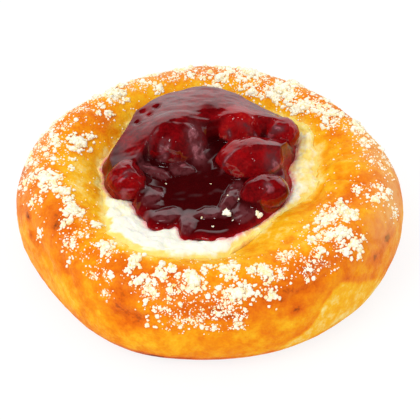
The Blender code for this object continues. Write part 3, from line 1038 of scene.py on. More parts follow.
    def baking(self, rings: Array, turn: Array, along: Array, relief: Array, curd_edge: Array) -> Array:
        """Return how far each point of the crust is baked, from 0 cream to 1 scorched, with painted shade in the
        grooves.

        Args:
            rings: The smooth points.
            turn: Their angles.
            along: How far outward from the crest they lie.
            relief: How far the crust stands out there.
            curd_edge: How far the curd reaches at each sector.

        Returns:
            The share at each point.
        """
        height = rings[..., 2]
        baked = 0.42 + 0.14 * ease(0.015, 0.024, height) * ease(-0.002, 0.006, along)
        baked -= 0.1 * (1.0 - ease(0.0, 0.008, reach(rings) - curd_edge))
        baked += 0.13 * Ripple(0.012, 8).at(rings) + 0.1 * Ripple(0.004, 9).at(rings)
        # painted shade: darker in the grooves and lighter on the ridges of the relief
        baked += 90.0 * np.clip(relief, -0.001, 0.0006) * -0.9
        for zone in self.browning:
            baked += 1.3 * zone.at(turn, along)
        for zone in self.yellowing:
            baked -= zone.at(turn, along)
        border = swell(turn, self.unbaked_lobes) + 0.0014 * Ripple(0.006, 12).at(rings)
        pale = 1.0 - ease(-0.0012, 0.001, height - border)
        edge = np.exp(-(((height - border - 0.0006) / 0.0012) ** 2)) * ease(0.006, 0.012, border)
        baked = baked * (1.0 - 0.62 * pale) + 0.12 * edge
        foot = ease(0.006, 0.004, height + 0.0008 * Ripple(0.006, 14).at(rings))
        foot = foot * (0.16 + swell(turn, ((-104.0, 18.0, 0.34), (-168.0, 12.0, 0.2))))
        return np.clip(baked + foot, 0.02, 1.0)


@dataclass
class Fruit:
    """One whole cherry.

    Attributes:
        middle: Its middle.
        half: Its half sizes.
        turn: How far it is turned about the vertical.
        ripe: How bright its skin is, from 0 dark to 1 pale.
        glazed: From 0 where its top is bare to 1 where the sauce covers all of it.
        dents: The direction, the spread and the depth of each hollow in it.
        meridians: How many points its mesh has round it.
        belts: How many bands its mesh has from pole to pole.
        uneven: How far it departs from an egg shape.
        wrinkle: How deep its fine wrinkles are.
        wet: How glossy it is.
    """

    middle: Point
    half: Point
    turn: float
    ripe: float
    glazed: float
    dents: tuple[tuple[Point, float, float], ...] = ()
    meridians: int = 96
    belts: int = 64
    uneven: float = 0.1
    wrinkle: float = 0.00014
    wet: float = 1.0

    def build(self, number: int) -> Mesh:
        """Build the cherry's mesh.

        Args:
            number: The cherry's number, which chooses its random relief.

        Returns:
            The closed mesh.
        """
        angle = np.arange(self.meridians) * 360.0 / self.meridians
        latitude = np.linspace(-90.0, 90.0, self.belts + 1)[1:-1]
        turn, rise = np.meshgrid(angle, latitude)
        flat = np.cos(np.radians(rise))
        unit = polar(turn, flat, np.sin(np.radians(rise)))
        poles = np.array([[0.0, 0.0, -1.0], [0.0, 0.0, 1.0]])
        points = self.shaped(np.concatenate([unit.reshape(-1, 3), poles]), number)
        rings = points[:-2].reshape(unit.shape)
        mesh = closed_mesh(f"fruit_{number}", rings, points[-2], points[-1])
        tone = self.ripe + 0.22 * Ripple(0.005, 60 + number).at(points)
        # painted shade: the skin is made darker below the cherry's middle
        tone -= 0.2 * ease(0.001, -0.006, points[:, 2] - self.middle[2])
        paint(mesh, "ripe", np.clip(tone, 0.0, 1.0))
        paint(mesh, "wet", np.full(len(points), self.wet))
        return mesh

    def shaped(self, unit: Array, number: int) -> Array:
        """Turn directions into points on the cherry's skin.

        Args:
            unit: Unit vectors.
            number: The cherry's number.

        Returns:
            The points.
        """
        half = np.array(self.half)
        scale = 1.0 + self.uneven * Ripple(0.9, 70 + number, 2).at(unit)
        for direction, spread, depth in self.dents:
            way = np.array(direction) / np.linalg.norm(direction)
            apart = np.linalg.norm(unit - way, axis=1)
            scale -= depth / half.mean() * np.exp(-((apart / spread) ** 2))
        skin = unit * half * scale[:, None]
        fine = self.wrinkle * Ripple(0.003, 80 + number, 3).at(skin * np.array([1.0, 1.0, 0.6]))
        folds = ease(0.1, 0.0, np.abs(Ripple(0.006, 180 + number, 2).at(skin)))
        skin += unit * (fine - 0.6 * self.wrinkle * folds)[:, None]
        turn = np.radians(self.turn)
        level, steep = np.cos(turn), np.sin(turn)
        spin = np.array([[level, steep, 0.0], [-steep, level, 0.0], [0.0, 0.0, 1.0]])
        return skin @ spin + np.array(self.middle)


def cherry_heap() -> tuple[Fruit, ...]:
    """Return the eight cherries, in the order of their nodes."""
    return (
        Fruit((-0.0114, 0.0114, 0.0314), (0.0108, 0.0096, 0.009), 6, 0.27, 0.92,
              (((0.6, -0.6, 0.5), 0.45, 0.0012), ((-0.5, -1, 0.2), 0.55, 0.0012),
               ((-0.9, 0.2, 0.6), 0.5, 0.0008))),
        Fruit((0.0086, 0.0178, 0.0318), (0.0082, 0.0062, 0.0074), 0, 0.72, 0.92,
              (((0.9, -0.5, 0.5), 0.35, 0.0009), ((-0.2, -0.9, 0.4), 0.3, 0.0005))),
        Fruit((0.0122, 0.0032, 0.0308), (0.0104, 0.0074, 0.008), 6, 0.54, 0.88,
              (((0.1, -0.5, 0.9), 0.3, 0.0008), ((-0.5, -0.8, 0.3), 0.4, 0.0007),
               ((0.7, -0.4, 0.5), 0.4, 0.0009))),
        Fruit((0.0226, 0.0158, 0.0316), (0.0052, 0.0054, 0.0052), 0, 0.5, 0.9,
              (((-0.1, -0.6, 0.8), 0.3, 0.0005),)),
        Fruit((0.0163, -0.0106, 0.0306), (0.0076, 0.0056, 0.0056), 12, 0.3, 0.9,
              (((0.3, -0.3, 0.9), 0.4, 0.0009), ((-0.7, -0.5, 0.5), 0.35, 0.0007))),
        Fruit((-0.0252, -0.0052, 0.0304), (0.006, 0.0064, 0.0056), 0, 0.46, 0.88,
              (((0.2, -0.7, 0.6), 0.35, 0.001), ((-0.5, -0.3, 0.8), 0.3, 0.0009),
               ((0.6, 0.1, 0.8), 0.25, 0.0007)),
              wrinkle=0.0004, wet=0.55, uneven=0.17),
        Fruit((-0.0035, 0.027, 0.032), (0.0084, 0.0054, 0.0062), 0, 0.4, 1),
        Fruit((-0.0205, 0.0228, 0.0316), (0.0044, 0.0036, 0.0044), 35, 0.35, 1),
    )


@dataclass
class Curd:
    """The curd: a lumpy layer in the hollow that shows round the sauce."""

    filling: Filling
    rim: float = 0.0007
    bulge: float = 0.0014
    band: float = 0.009
    dish_floor: float = 0.0207
    dish_start: float = 0.72
    margin: float = 0.0006
    mean_radius: float = 0.035
    lump_height: float = 0.0045
    fringe_height: float = 0.003
    sink: float = 0.0004
    under_rings: int = 5
    sectors: int = 420
    shown_rings: int = 44
    covered_rings: int = 14
    creamy: Lobes = ((14.0, 40.0, 0.98), (-172.0, 30.0, 0.8))

    def edge(self, angle: Array) -> Array:
        """Return how far the curd reaches at each angle, always past the sauce."""
        angle = np.asarray(angle, dtype=float)
        around = polar(angle, self.mean_radius, 0.0)
        wander = 0.0012 * Ripple(0.007, 20).at(around) + 0.0007 * Ripple(0.0028, 21, 2).at(around)
        wander = wander + swell(angle, ((-70.0, 10.0, -0.0022),))
        outer = self.filling.curd_edge(angle) + self.margin + wander
        return np.maximum(outer, self.filling.sauce_edge(angle) + self.margin)

    def smear(self, angle: Array, radius: Array) -> Array:
        """Return how pale the crust is beside the curd, from 0 to 1."""
        around = polar(angle, radius, 0.0)
        past = radius - self.edge(angle) + 0.0016 * Ripple(0.005, 22).at(around)
        width = 0.002 + swell(angle, ((-120.0, 28.0, 0.0012), (20.0, 25.0, 0.001)))
        return 1.0 - ease(-0.2, 1.0, past / width)

    def top(self, bun: Bun, angle: Array, radius: Array) -> Array:
        """Return the height of the curd's top, without its fine lumps.

        Args:
            bun: The bun that the curd lies in.
            angle: The angle of each place.
            radius: Its distance from the middle.

        Returns:
            The heights.
        """
        inner = self.filling.sauce_edge(angle)
        outer = self.edge(angle)
        shore = np.maximum(self.filling.curd_level, bun.slope(angle, inner) + self.rim)
        rim = bun.slope(angle, outer) + 0.0003
        across = np.clip((radius - inner) / (outer - inner), 0.0, 1.0)
        shown = shore + (rim - shore) * across ** 1.3
        shown += self.bulge * 4.0 * across * (1.0 - across) * np.clip((outer - inner) / self.band, 0.0, 1.0)
        covered = self.dish_floor + (shore - self.dish_floor) * ease(self.dish_start, 1.0, radius / inner)
        return np.where(radius <= inner, covered, shown)

    def lumps(self, points: Array) -> Array:
        """Return the fine lumps of the curd, from about 0 to 1."""
        soft = 0.5 + 0.5 * Ripple(0.006, 24, 2).at(points)
        grains = Grains(0.0044, 25).at(points)
        small = Grains(0.0015, 26).at(points)
        return 0.52 * soft + 0.38 * (1.0 - (1.0 - grains) ** 2) + 0.1 * small

    def build(self, bun: Bun) -> Mesh:
        """Build the curd's mesh, from under its edge over the lumps to below the sauce.

        Args:
            bun: The bun that the curd lies in.

        Returns:
            The closed mesh.
        """
        angle = np.arange(self.sectors) * 360.0 / self.sectors
        inner = self.filling.sauce_edge(angle)
        outer = self.edge(angle)
        under = []
        for share in np.linspace(0.0, 1.0, self.under_rings):
            radius = bun.hollow_radius + (outer - 0.001 - bun.hollow_radius) * share
            under.append(polar(angle, radius, bun.slope(angle, radius) - self.sink))
        wet = inner - 0.003
        radii = [outer + (wet - outer) * share for share in np.linspace(0.0, 1.0, self.shown_rings)]
        radii += [wet * share for share in np.linspace(1.0, 0.1, self.covered_rings)[1:]]
        over = np.array([polar(angle, radius, self.top(bun, angle, radius)) for radius in radii])
        distance = reach(over)
        lumps = self.lumps(over)
        shown = ease(0.0, 0.002, distance - inner + 0.004)
        wide = np.clip((outer - inner) / 0.006, 0.35, 1.0)
        verge = bun.slope(angle, np.maximum(distance, self.filling.curd_edge(angle)))
        body = over[..., 2] + self.lump_height * (lumps - 0.54) * wide * shown
        fringe = verge + self.fringe_height * (lumps - 0.55)
        over[..., 2] = fringe + (body - fringe) * ease(0.0, 0.003, outer - distance)
        over[0, :, 2] = bun.slope(angle, outer) - 0.001
        rings = np.concatenate([np.array(under), over])
        low, high = (np.array([0.0, 0.0, level]) for level in (bun.hollow_floor, self.dish_floor))
        mesh = closed_mesh("curd", rings, low, high)
        whole = reach(rings)
        hidden = np.zeros((len(under), self.sectors))
        film = ease(0.0013, 0.0001, over[..., 2] - verge) * ease(0.0044, 0.0026, outer - distance)
        thin = np.maximum(np.concatenate([hidden, film]), 0.95 * ease(0.0032, 0.0, outer - whole))
        thin = np.maximum(thin, swell(angle, self.creamy) * (0.75 + 0.5 * Ripple(0.004, 29).at(rings)))
        stain = np.exp(-((np.maximum(whole - inner, 0.0) / 0.001) ** 2)) * 0.85
        stain += 0.5 * np.exp(-((whole - inner) / 0.0026) ** 2) * ease(0.1, 0.6, Ripple(0.004, 28).at(rings))
        stain += np.exp(-((whole - inner) / 0.002) ** 2) * swell(angle, ((-74.0, 9.0, 0.55),))
        # crease marks the hollows between the lumps, which the finish paints with yellow shade
        crease = np.concatenate([hidden, ease(0.48, 0.16, lumps)])
        paint(mesh, "thin", np.clip(thin, 0.0, 1.0))
        paint(mesh, "stain", np.clip(stain, 0.0, 1.0))
        paint(mesh, "crease", crease)
        return mesh


@dataclass(frozen=True)
class Oval:
    """A turned oval in plan.

    Attributes:
        middle: Its middle.
        half: Its half sizes.
        turn: How far it is turned.
    """

    middle: Place
    half: Place
    turn: float

    def shares(self, points: Array) -> tuple[Array, Array]:
        """Return how far each place lies along and across the oval, in its half sizes."""
        turn = math.radians(self.turn)
        x = points[..., 0] - self.middle[0]
        y = points[..., 1] - self.middle[1]
        along = (x * math.cos(turn) + y * math.sin(turn)) / self.half[0]
        return along, (y * math.cos(turn) - x * math.sin(turn)) / self.half[1]

    def square(self, points: Array) -> Array:
        """Return the square of how far each place lies from the middle, 1 on the oval's edge."""
        along, across = self.shares(points)
        return along * along + across * across


@dataclass(frozen=True)
class Hump(Oval):
    """A lump of pulp under the sauce's skin, or with a negative height a dent in it.

    Attributes:
        height: How far its middle stands out of the sauce.
        lean: How much its top falls towards the back, in height for each length.
        flat: How flat its top is and how steep its sides are.
    """

    height: float
    lean: float = 0.1
    flat: float = 1.8

    def at(self, points: Array) -> Array:
        """Return how much the lump adds at each place."""
        top = self.height - self.lean * (points[..., 1] - self.middle[1])
        return top * np.exp(-(self.square(points) ** self.flat))


@dataclass(frozen=True)
class Terrace(Oval):
    """A flat-topped piece of pulp that stands out of the sauce in front and runs into it behind.

    Attributes:
        rise: How far its middle stands out.
        lean: How much its top falls towards the back, in height for each length.
        side: How far its skin falls from the middle to its edge.
        flat: How flat its top is and how steep its sides are.
    """

    rise: float
    lean: float = 0.03
    side: float = 0.0006
    flat: float = 1.8

    def at(self, points: Array, level: float) -> Array:
        """Return the height of its skin at each place, when the sauce stands at a level at its middle."""
        top = level + self.rise - self.lean * (points[..., 1] - self.middle[1])
        return top - self.side * np.minimum(self.square(points) ** self.flat, 12.0)


@dataclass(frozen=True)
class Sheet:
    """A smooth sheet of glaze that hangs over what lies under it.

    Attributes:
        marks: Points that it passes through.
        front: Its front edge in plan, from left to right.
        back: Its back edge in plan, or nothing where it ends at the sauce's own edge.
        waves: How far its skin rises and falls.
        fall: How steeply it falls off past its edges.
        round_off: How far past its edges it takes to reach that steepness.
        unit: The length that the bending is reckoned in.
        give: How much the plate may miss its marks, so that it stays smooth.
    """

    marks: tuple[Point, ...]
    front: tuple[Place, ...]
    back: tuple[Place, ...] = ()
    waves: float = 0.00038
    fall: float = 4.2
    round_off: float = 0.0011
    unit: float = 0.01
    give: float = 0.02

    def past(self, points: Array, behind: bool = False) -> Array:
        """Return how far each place lies in front of the front edge, or behind the back edge."""
        ends = np.array(self.back if behind else self.front)
        ahead = np.interp(points[..., 0], ends[:, 0], ends[:, 1]) - points[..., 1]
        return np.maximum(-ahead if behind else ahead, 0.0)

    @staticmethod
    def bend(away: Array) -> Array:
        """Return how a thin plate bends at a distance from a push."""
        return away ** 2 * np.log(away + 1e-9)

    def at(self, points: Array) -> Array:
        """Return the sheet's height at each place, as a thin plate bent through its marks."""
        marks = np.array(self.marks)
        count = len(marks)
        away = np.linalg.norm(marks[:, None, :2] - marks[None, :, :2], axis=-1) / self.unit
        flat = np.concatenate([np.ones((count, 1)), marks[:, :2] / self.unit], axis=1)
        stiff = self.bend(away) + self.give * np.eye(count)
        whole = np.block([[stiff, flat], [flat.T, np.zeros((3, 3))]])
        pull = np.linalg.solve(whole, np.concatenate([marks[:, 2], np.zeros(3)]))
        place = points[..., :2] / self.unit
        height = pull[count] + place @ pull[count + 1:]
        for mark, weight in zip(flat[:, 1:], pull[:count]):
            apart = np.linalg.norm(place - mark, axis=-1)
            height += weight * self.bend(apart)
        height += self.waves * Ripple(0.0075, 93, 3).at(points * np.array([1.0, 2.2, 1.0]))
        for behind in (False, True) if self.back else (False,):
            past = self.past(points, behind)
            height = height - self.fall * past ** 2 / (past + self.round_off)
        return height


@dataclass
class Sauce:
    """The thick sauce: a pool with a rounded lip, and a glaze over the cherries behind.

    Attributes:
        humps: Fruit that lies just under the pool's skin.
        pulp: Flat pieces of pulp that stand out of the pool.
        dimples: Small dents and one swelling in the glaze.
        painted_sheens: Places painted paler as highlights, standing for light that they throw back, with its
            strength for a height.
        drape: The glaze over the cherries at the back.
        fold: The glaze over the cherry in the middle.
        spot: A dull place on the glaze, with its strength for a height.
    """

    level: float = 0.0301
    slope: float = 0.1
    sag: float = 0.0012
    lip: float = 0.003
    lip_height: float = 0.001
    film: float = 0.00035
    sink: float = 0.0002
    push: float = 0.0011
    sectors: int = 520
    rings: int = 150
    under_rings: int = 10
    smoothing: int = 3
    flanks: Lobes = ((155.0, 20.0, 1.0), (4.0, 24.0, 0.9))
    humps: tuple[Hump, ...] = (
        Hump((-0.0255, -0.008), (0.006, 0.0064), 0, 0.0034, 0.05, 1.4),
        Hump((0.0178, -0.0106), (0.0076, 0.0062), 14, 0.0026, 0.05, 1.4),
    )
    pulp: tuple[Terrace, ...] = (
        Terrace((-0.0192, -0.018), (0.0024, 0.0026), 0, 0.0005),
        Terrace((-0.013, -0.018), (0.0046, 0.003), 10, 0.0008),
        Terrace((-0.0068, -0.0208), (0.0028, 0.0052), -14, 0.0009),
        Terrace((0.0014, -0.0172), (0.0066, 0.0026), 5, 0.0006),
        Terrace((0.011, -0.0172), (0.004, 0.0044), 24, 0.001),
        Terrace((0.019, -0.018), (0.004, 0.0024), 35, 0.0005),
        Terrace((-0.0184, -0.0102), (0.005, 0.0028), 40, 0.0011, 0.05),
        Terrace((-0.0183, 0.0004), (0.0054, 0.002), -28, 0.0014, 0.05),
        Terrace((-0.0086, 0.0004), (0.003, 0.002), -10, 0.0018, 0.05),
        Terrace((0.007, -0.0095), (0.0022, 0.006), -24, 0.0014, 0.05),
        Terrace((-0.0165, -0.014), (0.003, 0.0018), 20, 0.0004, 0.02),
    )
    dimples: tuple[Hump, ...] = (
        Hump((-0.0207, 0.0215), (0.0013, 0.0011), 0, -0.0009, 0, 1.2),
        Hump((-0.0186, 0.019), (0.001, 0.0009), 0, -0.0007, 0, 1.2),
        Hump((-0.0165, 0.0222), (0.0012, 0.001), 0, -0.0009, 0, 1.2),
        Hump((-0.0222, 0.0165), (0.0011, 0.0012), 0, -0.0008, 0, 1.2),
        Hump((-0.0006, 0.019), (0.0027, 0.003), -20, 0.0007, 0, 1.6),
    )
    # Painted highlights: Hump patches whose height is the strength of the paler colour painted there.
    painted_sheens: tuple[Hump, ...] = (
        Hump((-0.004, 0.0078), (0.003, 0.005), 12, 1.6, 0, 1.1),
        Hump((-0.0183, 0.0006), (0.003, 0.0011), -28, 1.5, 0, 1.3),
        Hump((-0.0086, 0.0008), (0.0018, 0.0013), 10, 1.6, 0, 1.3),
        Hump((-0.0138, 0.0044), (0.002, 0.0012), 30, 1.7, 0, 1.3),
        Hump((-0.018, 0.007), (0.0012, 0.003), -25, 0.9, 0, 1.2),
        Hump((0.0108, 0.0138), (0.0026, 0.0007), -20, 0.8, 0, 1.2),
        Hump((0.0142, 0.0136), (0.001, 0.0007), 0, 1.9, 0, 1.2),
        Hump((0.0058, 0.013), (0.0012, 0.0006), -30, 1.6, 0, 1.2),
        Hump((0.0202, 0.0134), (0.003, 0.0011), 0, 2, 0, 1.3),
        Hump((0.0177, -0.0132), (0.0018, 0.0014), 0, 1.8, 0, 1.3),
        Hump((0.0195, -0.0002), (0.0028, 0.0034), -20, 1.2, 0, 1.3),
        Hump((0.0056, 0.0002), (0.003, 0.0006), 28, 1.5, 0, 1.2),
        Hump((0.0172, -0.0066), (0.0056, 0.0004), -4, 1.9, 0, 1.2),
        Hump((-0.0262, -0.0085), (0.003, 0.0005), 30, 1.5, 0, 1.2),
        Hump((-0.024, -0.0062), (0.0034, 0.0005), 20, 1.4, 0, 1.2),
        Hump((-0.0248, -0.011), (0.0026, 0.0004), 10, 1.4, 0, 1.2),
    )
    drape: Sheet = Sheet((
        (-0.0328, 0.0042, 0.0308), (-0.0279, 0.0107, 0.0334), (-0.025, 0.0186, 0.0351),
        (-0.0186, 0.0288, 0.0361), (-0.01, 0.0318, 0.0364), (-0.0012, 0.0325, 0.0374),
        (0.0071, 0.0302, 0.0369), (0.0136, 0.0258, 0.036), (0.0214, 0.0205, 0.0352),
        (0.0262, 0.015, 0.0342), (0.0285, 0.008, 0.0325), (-0.0255, 0.0005, 0.0332),
        (-0.0222, 0.002, 0.034), (-0.02, 0.0075, 0.037), (-0.0165, 0.0115, 0.0395),
        (-0.011, 0.013, 0.0406), (-0.011, 0.0165, 0.0402), (-0.005, 0.015, 0.04),
        (-0.001, 0.0145, 0.0389), (0.003, 0.016, 0.0389), (0.0085, 0.0168, 0.0392),
        (0.014, 0.0175, 0.038), (0.02, 0.018, 0.0369), (0.024, 0.016, 0.0357),
        (-0.003, 0.024, 0.0392), (0.004, 0.023, 0.0388), (-0.012, 0.0225, 0.0388),
        (-0.019, 0.017, 0.0373), (0.01, 0.023, 0.038), (-0.017, 0.0235, 0.0376),
    ), (
        (-0.034, 0.0005), (-0.026, 0), (-0.0225, 0.0006), (-0.02, 0.005), (-0.0165, 0.01),
        (-0.011, 0.0122), (-0.005, 0.0134), (-0.001, 0.0138), (0.003, 0.0158), (0.0085, 0.0164),
        (0.014, 0.0176), (0.02, 0.0176), (0.024, 0.0158), (0.028, 0.0095), (0.034, 0.004),
    ))
    fold: Sheet = Sheet((
        (-0.004, 0.0016, 0.0262), (0, 0.002, 0.029), (0.0026, 0.0012, 0.0312), (0.0055, 0.0014, 0.0345),
        (0.009, 0.0018, 0.0376), (0.0124, 0.0024, 0.0393), (0.016, 0.0036, 0.0385), (0.02, 0.0054, 0.0368),
        (0.024, 0.007, 0.035), (0.0275, 0.007, 0.033), (0.0124, 0.0058, 0.0383), (0.018, 0.0078, 0.0366),
        (0.0235, 0.01, 0.034), (0.006, 0.0048, 0.0345),
    ), (
        (0, 0.0006), (0.0055, 0.0004), (0.0124, 0.001), (0.016, 0.0022), (0.02, 0.0038),
        (0.024, 0.0044), (0.03, 0.004),
    ), (
        (0, 0.0034), (0.006, 0.0054), (0.0124, 0.0068), (0.018, 0.0086), (0.0235, 0.0108),
        (0.03, 0.0118),
    ), 0.00016)
    spot: Hump = Hump((-0.0006, 0.019), (0.0027, 0.0034), -10.0, 0.85, 0.0, 1.6)

    def build(self, bun: Bun, curd: Curd, fruits: list[Mesh], heap: tuple[Fruit, ...]) -> Mesh:
        """Build the sauce's mesh round the cherries.

        Args:
            bun: The bun.
            curd: The curd that the sauce lies on.
            fruits: The cherries' meshes.
            heap: The cherries, in the same order.

        Returns:
            The closed mesh.
        """
        angle = np.arange(self.sectors) * 360.0 / self.sectors
        edge = curd.filling.sauce_edge(angle)
        shares = 1.0 - (np.arange(self.rings) / self.rings) ** 1.15
        points = np.array([polar(angle, edge * share, np.zeros_like(edge)) for share in shares])
        turn = np.broadcast_to(angle, points.shape[:-1])
        radius = reach(points)
        inward = np.clip((edge - radius) / self.lip, 0.0, 1.0)
        brink = bun.slope(turn, np.broadcast_to(edge, radius.shape)) + curd.rim
        shore = np.maximum(curd.filling.curd_level, brink)
        foot = np.maximum(curd.top(bun, turn, radius), shore) + self.sink
        rounding = np.sqrt(np.clip(1.0 - (1.0 - inward) ** 2, 0.0, 1.0))
        low = foot + self.lip_height * rounding - self.sag * ease(self.lip, 2.6 * self.lip, edge - radius)
        pool = self.level + self.slope * points[..., 1] + 0.0001 * Ripple(0.005, 90, 2).at(points)
        pool = pool + sum(hump.at(points) for hump in self.humps)
        open_pool = pool
        drift = np.stack([Ripple(0.0034, seed, 2).at(points) for seed in (94, 98, 99)], axis=-1)
        pushed = points + self.push * drift * np.array([1.0, 1.0, 0.0])
        for terrace in self.pulp:
            level = self.level + self.slope * terrace.middle[1]
            pool = self.soft_top(pool, terrace.at(pushed, level), 0.0005)
        sheet = self.drape.at(points) + sum(dimple.at(points) for dimple in self.dimples)
        merged = self.soft_top(self.soft_top(pool, self.fold.at(points), 0.001), sheet, 0.001)
        covered, nearest, tint = self.over_fruit(points, fruits, heap, merged)
        covered = self.settle(covered)
        top = low + np.maximum(covered - low, 0.0) * ease(0.0, 1.0, inward)
        points[..., 2] = top
        under = []
        for share in np.linspace(0.2, 1.0, self.under_rings):
            reached = edge * share - self.sink
            under.append(polar(angle, reached, curd.top(bun, angle, reached) - self.sink))
        rings = np.concatenate([np.array(under), points])
        middle = points[-1].mean(axis=0)
        mesh = closed_mesh("sauce", rings, np.array([0.0, 0.0, curd.dish_floor - self.sink]), middle)
        depth = np.minimum(np.maximum(top - nearest, 0.0), 0.004)
        raised = ease(0.0001, 0.0007, np.minimum(pool, top) - open_pool)
        past = self.drape.past(points)
        # painted shade: darker where the back glaze falls off its front edge, left of the middle
        curtain = ease(0.0, 0.0006, past) * ease(0.01, 0.006, past) * ease(0.006, 0.0, points[..., 0])
        clear = 0.34 - 0.3 * ease(0.0345, 0.0315, top) - 0.22 * curtain - 0.12 * self.spot.at(points)
        clear = clear + (tint + 0.04 - clear) * np.exp(-depth / 0.0011)
        rim = 0.74 * np.exp(-((edge - radius) / 0.0018)) * (0.75 + 0.25 * Ripple(0.004, 92).at(points))
        clear = np.maximum(clear, rim)
        flank = swell(turn, self.flanks) * np.exp(-((edge - radius) / 0.0031) ** 2)
        clear = np.clip(np.maximum(clear, 0.85 * flank), 0.0, 1.0)
        hidden = np.zeros((len(under), self.sectors))
        paint(mesh, "clear", np.concatenate([hidden, clear]))
        # painted highlight strength at each place; it goes into the pulp mark together with the raised pulp
        sheen = self.painted_highlight(points, pushed)
        paint(mesh, "pulp", np.concatenate([hidden, np.maximum(0.9 * raised, sheen)]))
        dry = np.clip(0.85 * flank + self.spot.at(points), 0.0, 0.9)
        paint(mesh, "wet", np.concatenate([hidden, 1.0 - dry]))
        return mesh

    def painted_highlight(self, points: Array, pushed: Array) -> Array:
        """Return how much painted highlight each place gets, from 0 to 2, from places and their shifted places."""
        broken = np.clip(0.95 + 0.9 * Ripple(0.0026, 96, 3).at(points * np.array([1.0, 0.6, 1.0])), 0.3, 1.4)
        return np.clip(sum(patch.at(pushed) for patch in self.painted_sheens) * broken, 0.0, 2.0)

    def painted_shine(self, fruits: list[Mesh]) -> None:
        """Paint the same highlights on the cherries too, where their skin shows."""
        for mesh in fruits:
            points = read_points(mesh)
            paint(mesh, "painted_shine", self.painted_highlight(points, points))

    @staticmethod
    def soft_top(first: Array, second: Array, softness: float) -> Array:
        """Return the higher of two surfaces, rounded where they meet."""
        near = np.maximum(softness - np.abs(first - second), 0.0) / softness
        return np.maximum(first, second) + near ** 2 * softness / 4.0

    def settle(self, heights: Array) -> Array:
        """Smooth the surface a little, as its own pull does."""
        for _ in range(self.smoothing):
            across = np.concatenate([heights[:1], heights, heights[-1:]])
            beside = (np.roll(heights, 1, axis=1) + np.roll(heights, -1, axis=1)) / 2.0
            heights = 0.5 * heights + 0.25 * (across[:-2] + across[2:]) / 2.0 + 0.25 * beside
        return heights

    def over_fruit(self, points: Array, fruits: list[Mesh], heap: tuple[Fruit, ...],
                   base: Array) -> tuple[Array, Array, Array]:
        """Lay the sauce over and up the sides of the cherries.

        Args:
            points: The places in plan.
            fruits: The cherries' meshes.
            heap: The cherries.
            base: The height of the sauce between the cherries.

        Returns:
            The height of the sauce's skin over the cherries, the height of the fruit below it, and its tone.
        """
        skin = base
        nearest = np.full(base.shape, -1.0)
        tint = np.zeros(base.shape)
        for number, (mesh, fruit) in enumerate(zip(fruits, heap)):
            places = read_points(mesh)
            tree = BVHTree.FromPolygons(places.tolist(), [face.vertices[:] for face in mesh.polygons])
            middle = fruit.middle
            along, across = Oval(middle[:2], fruit.half[:2], fruit.turn).shares(points)
            spread = np.hypot(along, across)
            away = np.maximum(spread - 1.0, 0.0) * min(fruit.half[:2])
            hits = np.full(base.shape, np.nan)
            for index in zip(*np.nonzero(spread < 1.12)):
                hit = tree.ray_cast(Vector((*points[index][:2], ABOVE)), DOWN)[0]
                if hit is not None:
                    hits[index] = hit.z
            found = ~np.isnan(hits)
            filled = np.where(found, hits, middle[2])
            tint = np.where(found & (filled > nearest), fruit.ripe, tint)
            nearest = np.where(found, np.maximum(nearest, filled), nearest)
            over = (filled - middle[2]) / fruit.half[2]
            wander = 0.12 * Ripple(0.005, 95 + number, 2).at(points)
            behind = ease(-0.12, 0.16, across + wander)
            flank = 1.0 - ease(0.05, 0.4, over + wander)
            glazed = np.full_like(wander, fruit.glazed * 1.6 - 0.55) + wander
            cover = np.clip(np.maximum(np.maximum(behind, flank), glazed), 0.0, 1.0)
            film = self.film * (2.6 * cover - 1.9)
            inside = np.where(found, filled + film, 0.0)
            climbed = base + (middle[2] + 0.0002 - base) * np.exp(-away / 0.0008)
            beside = ~found & (spread < 2.0)
            skin = self.soft_top(skin, inside, 0.0009)
            skin = np.maximum(skin, np.where(beside, climbed, 0.0))
        return skin, nearest, tint


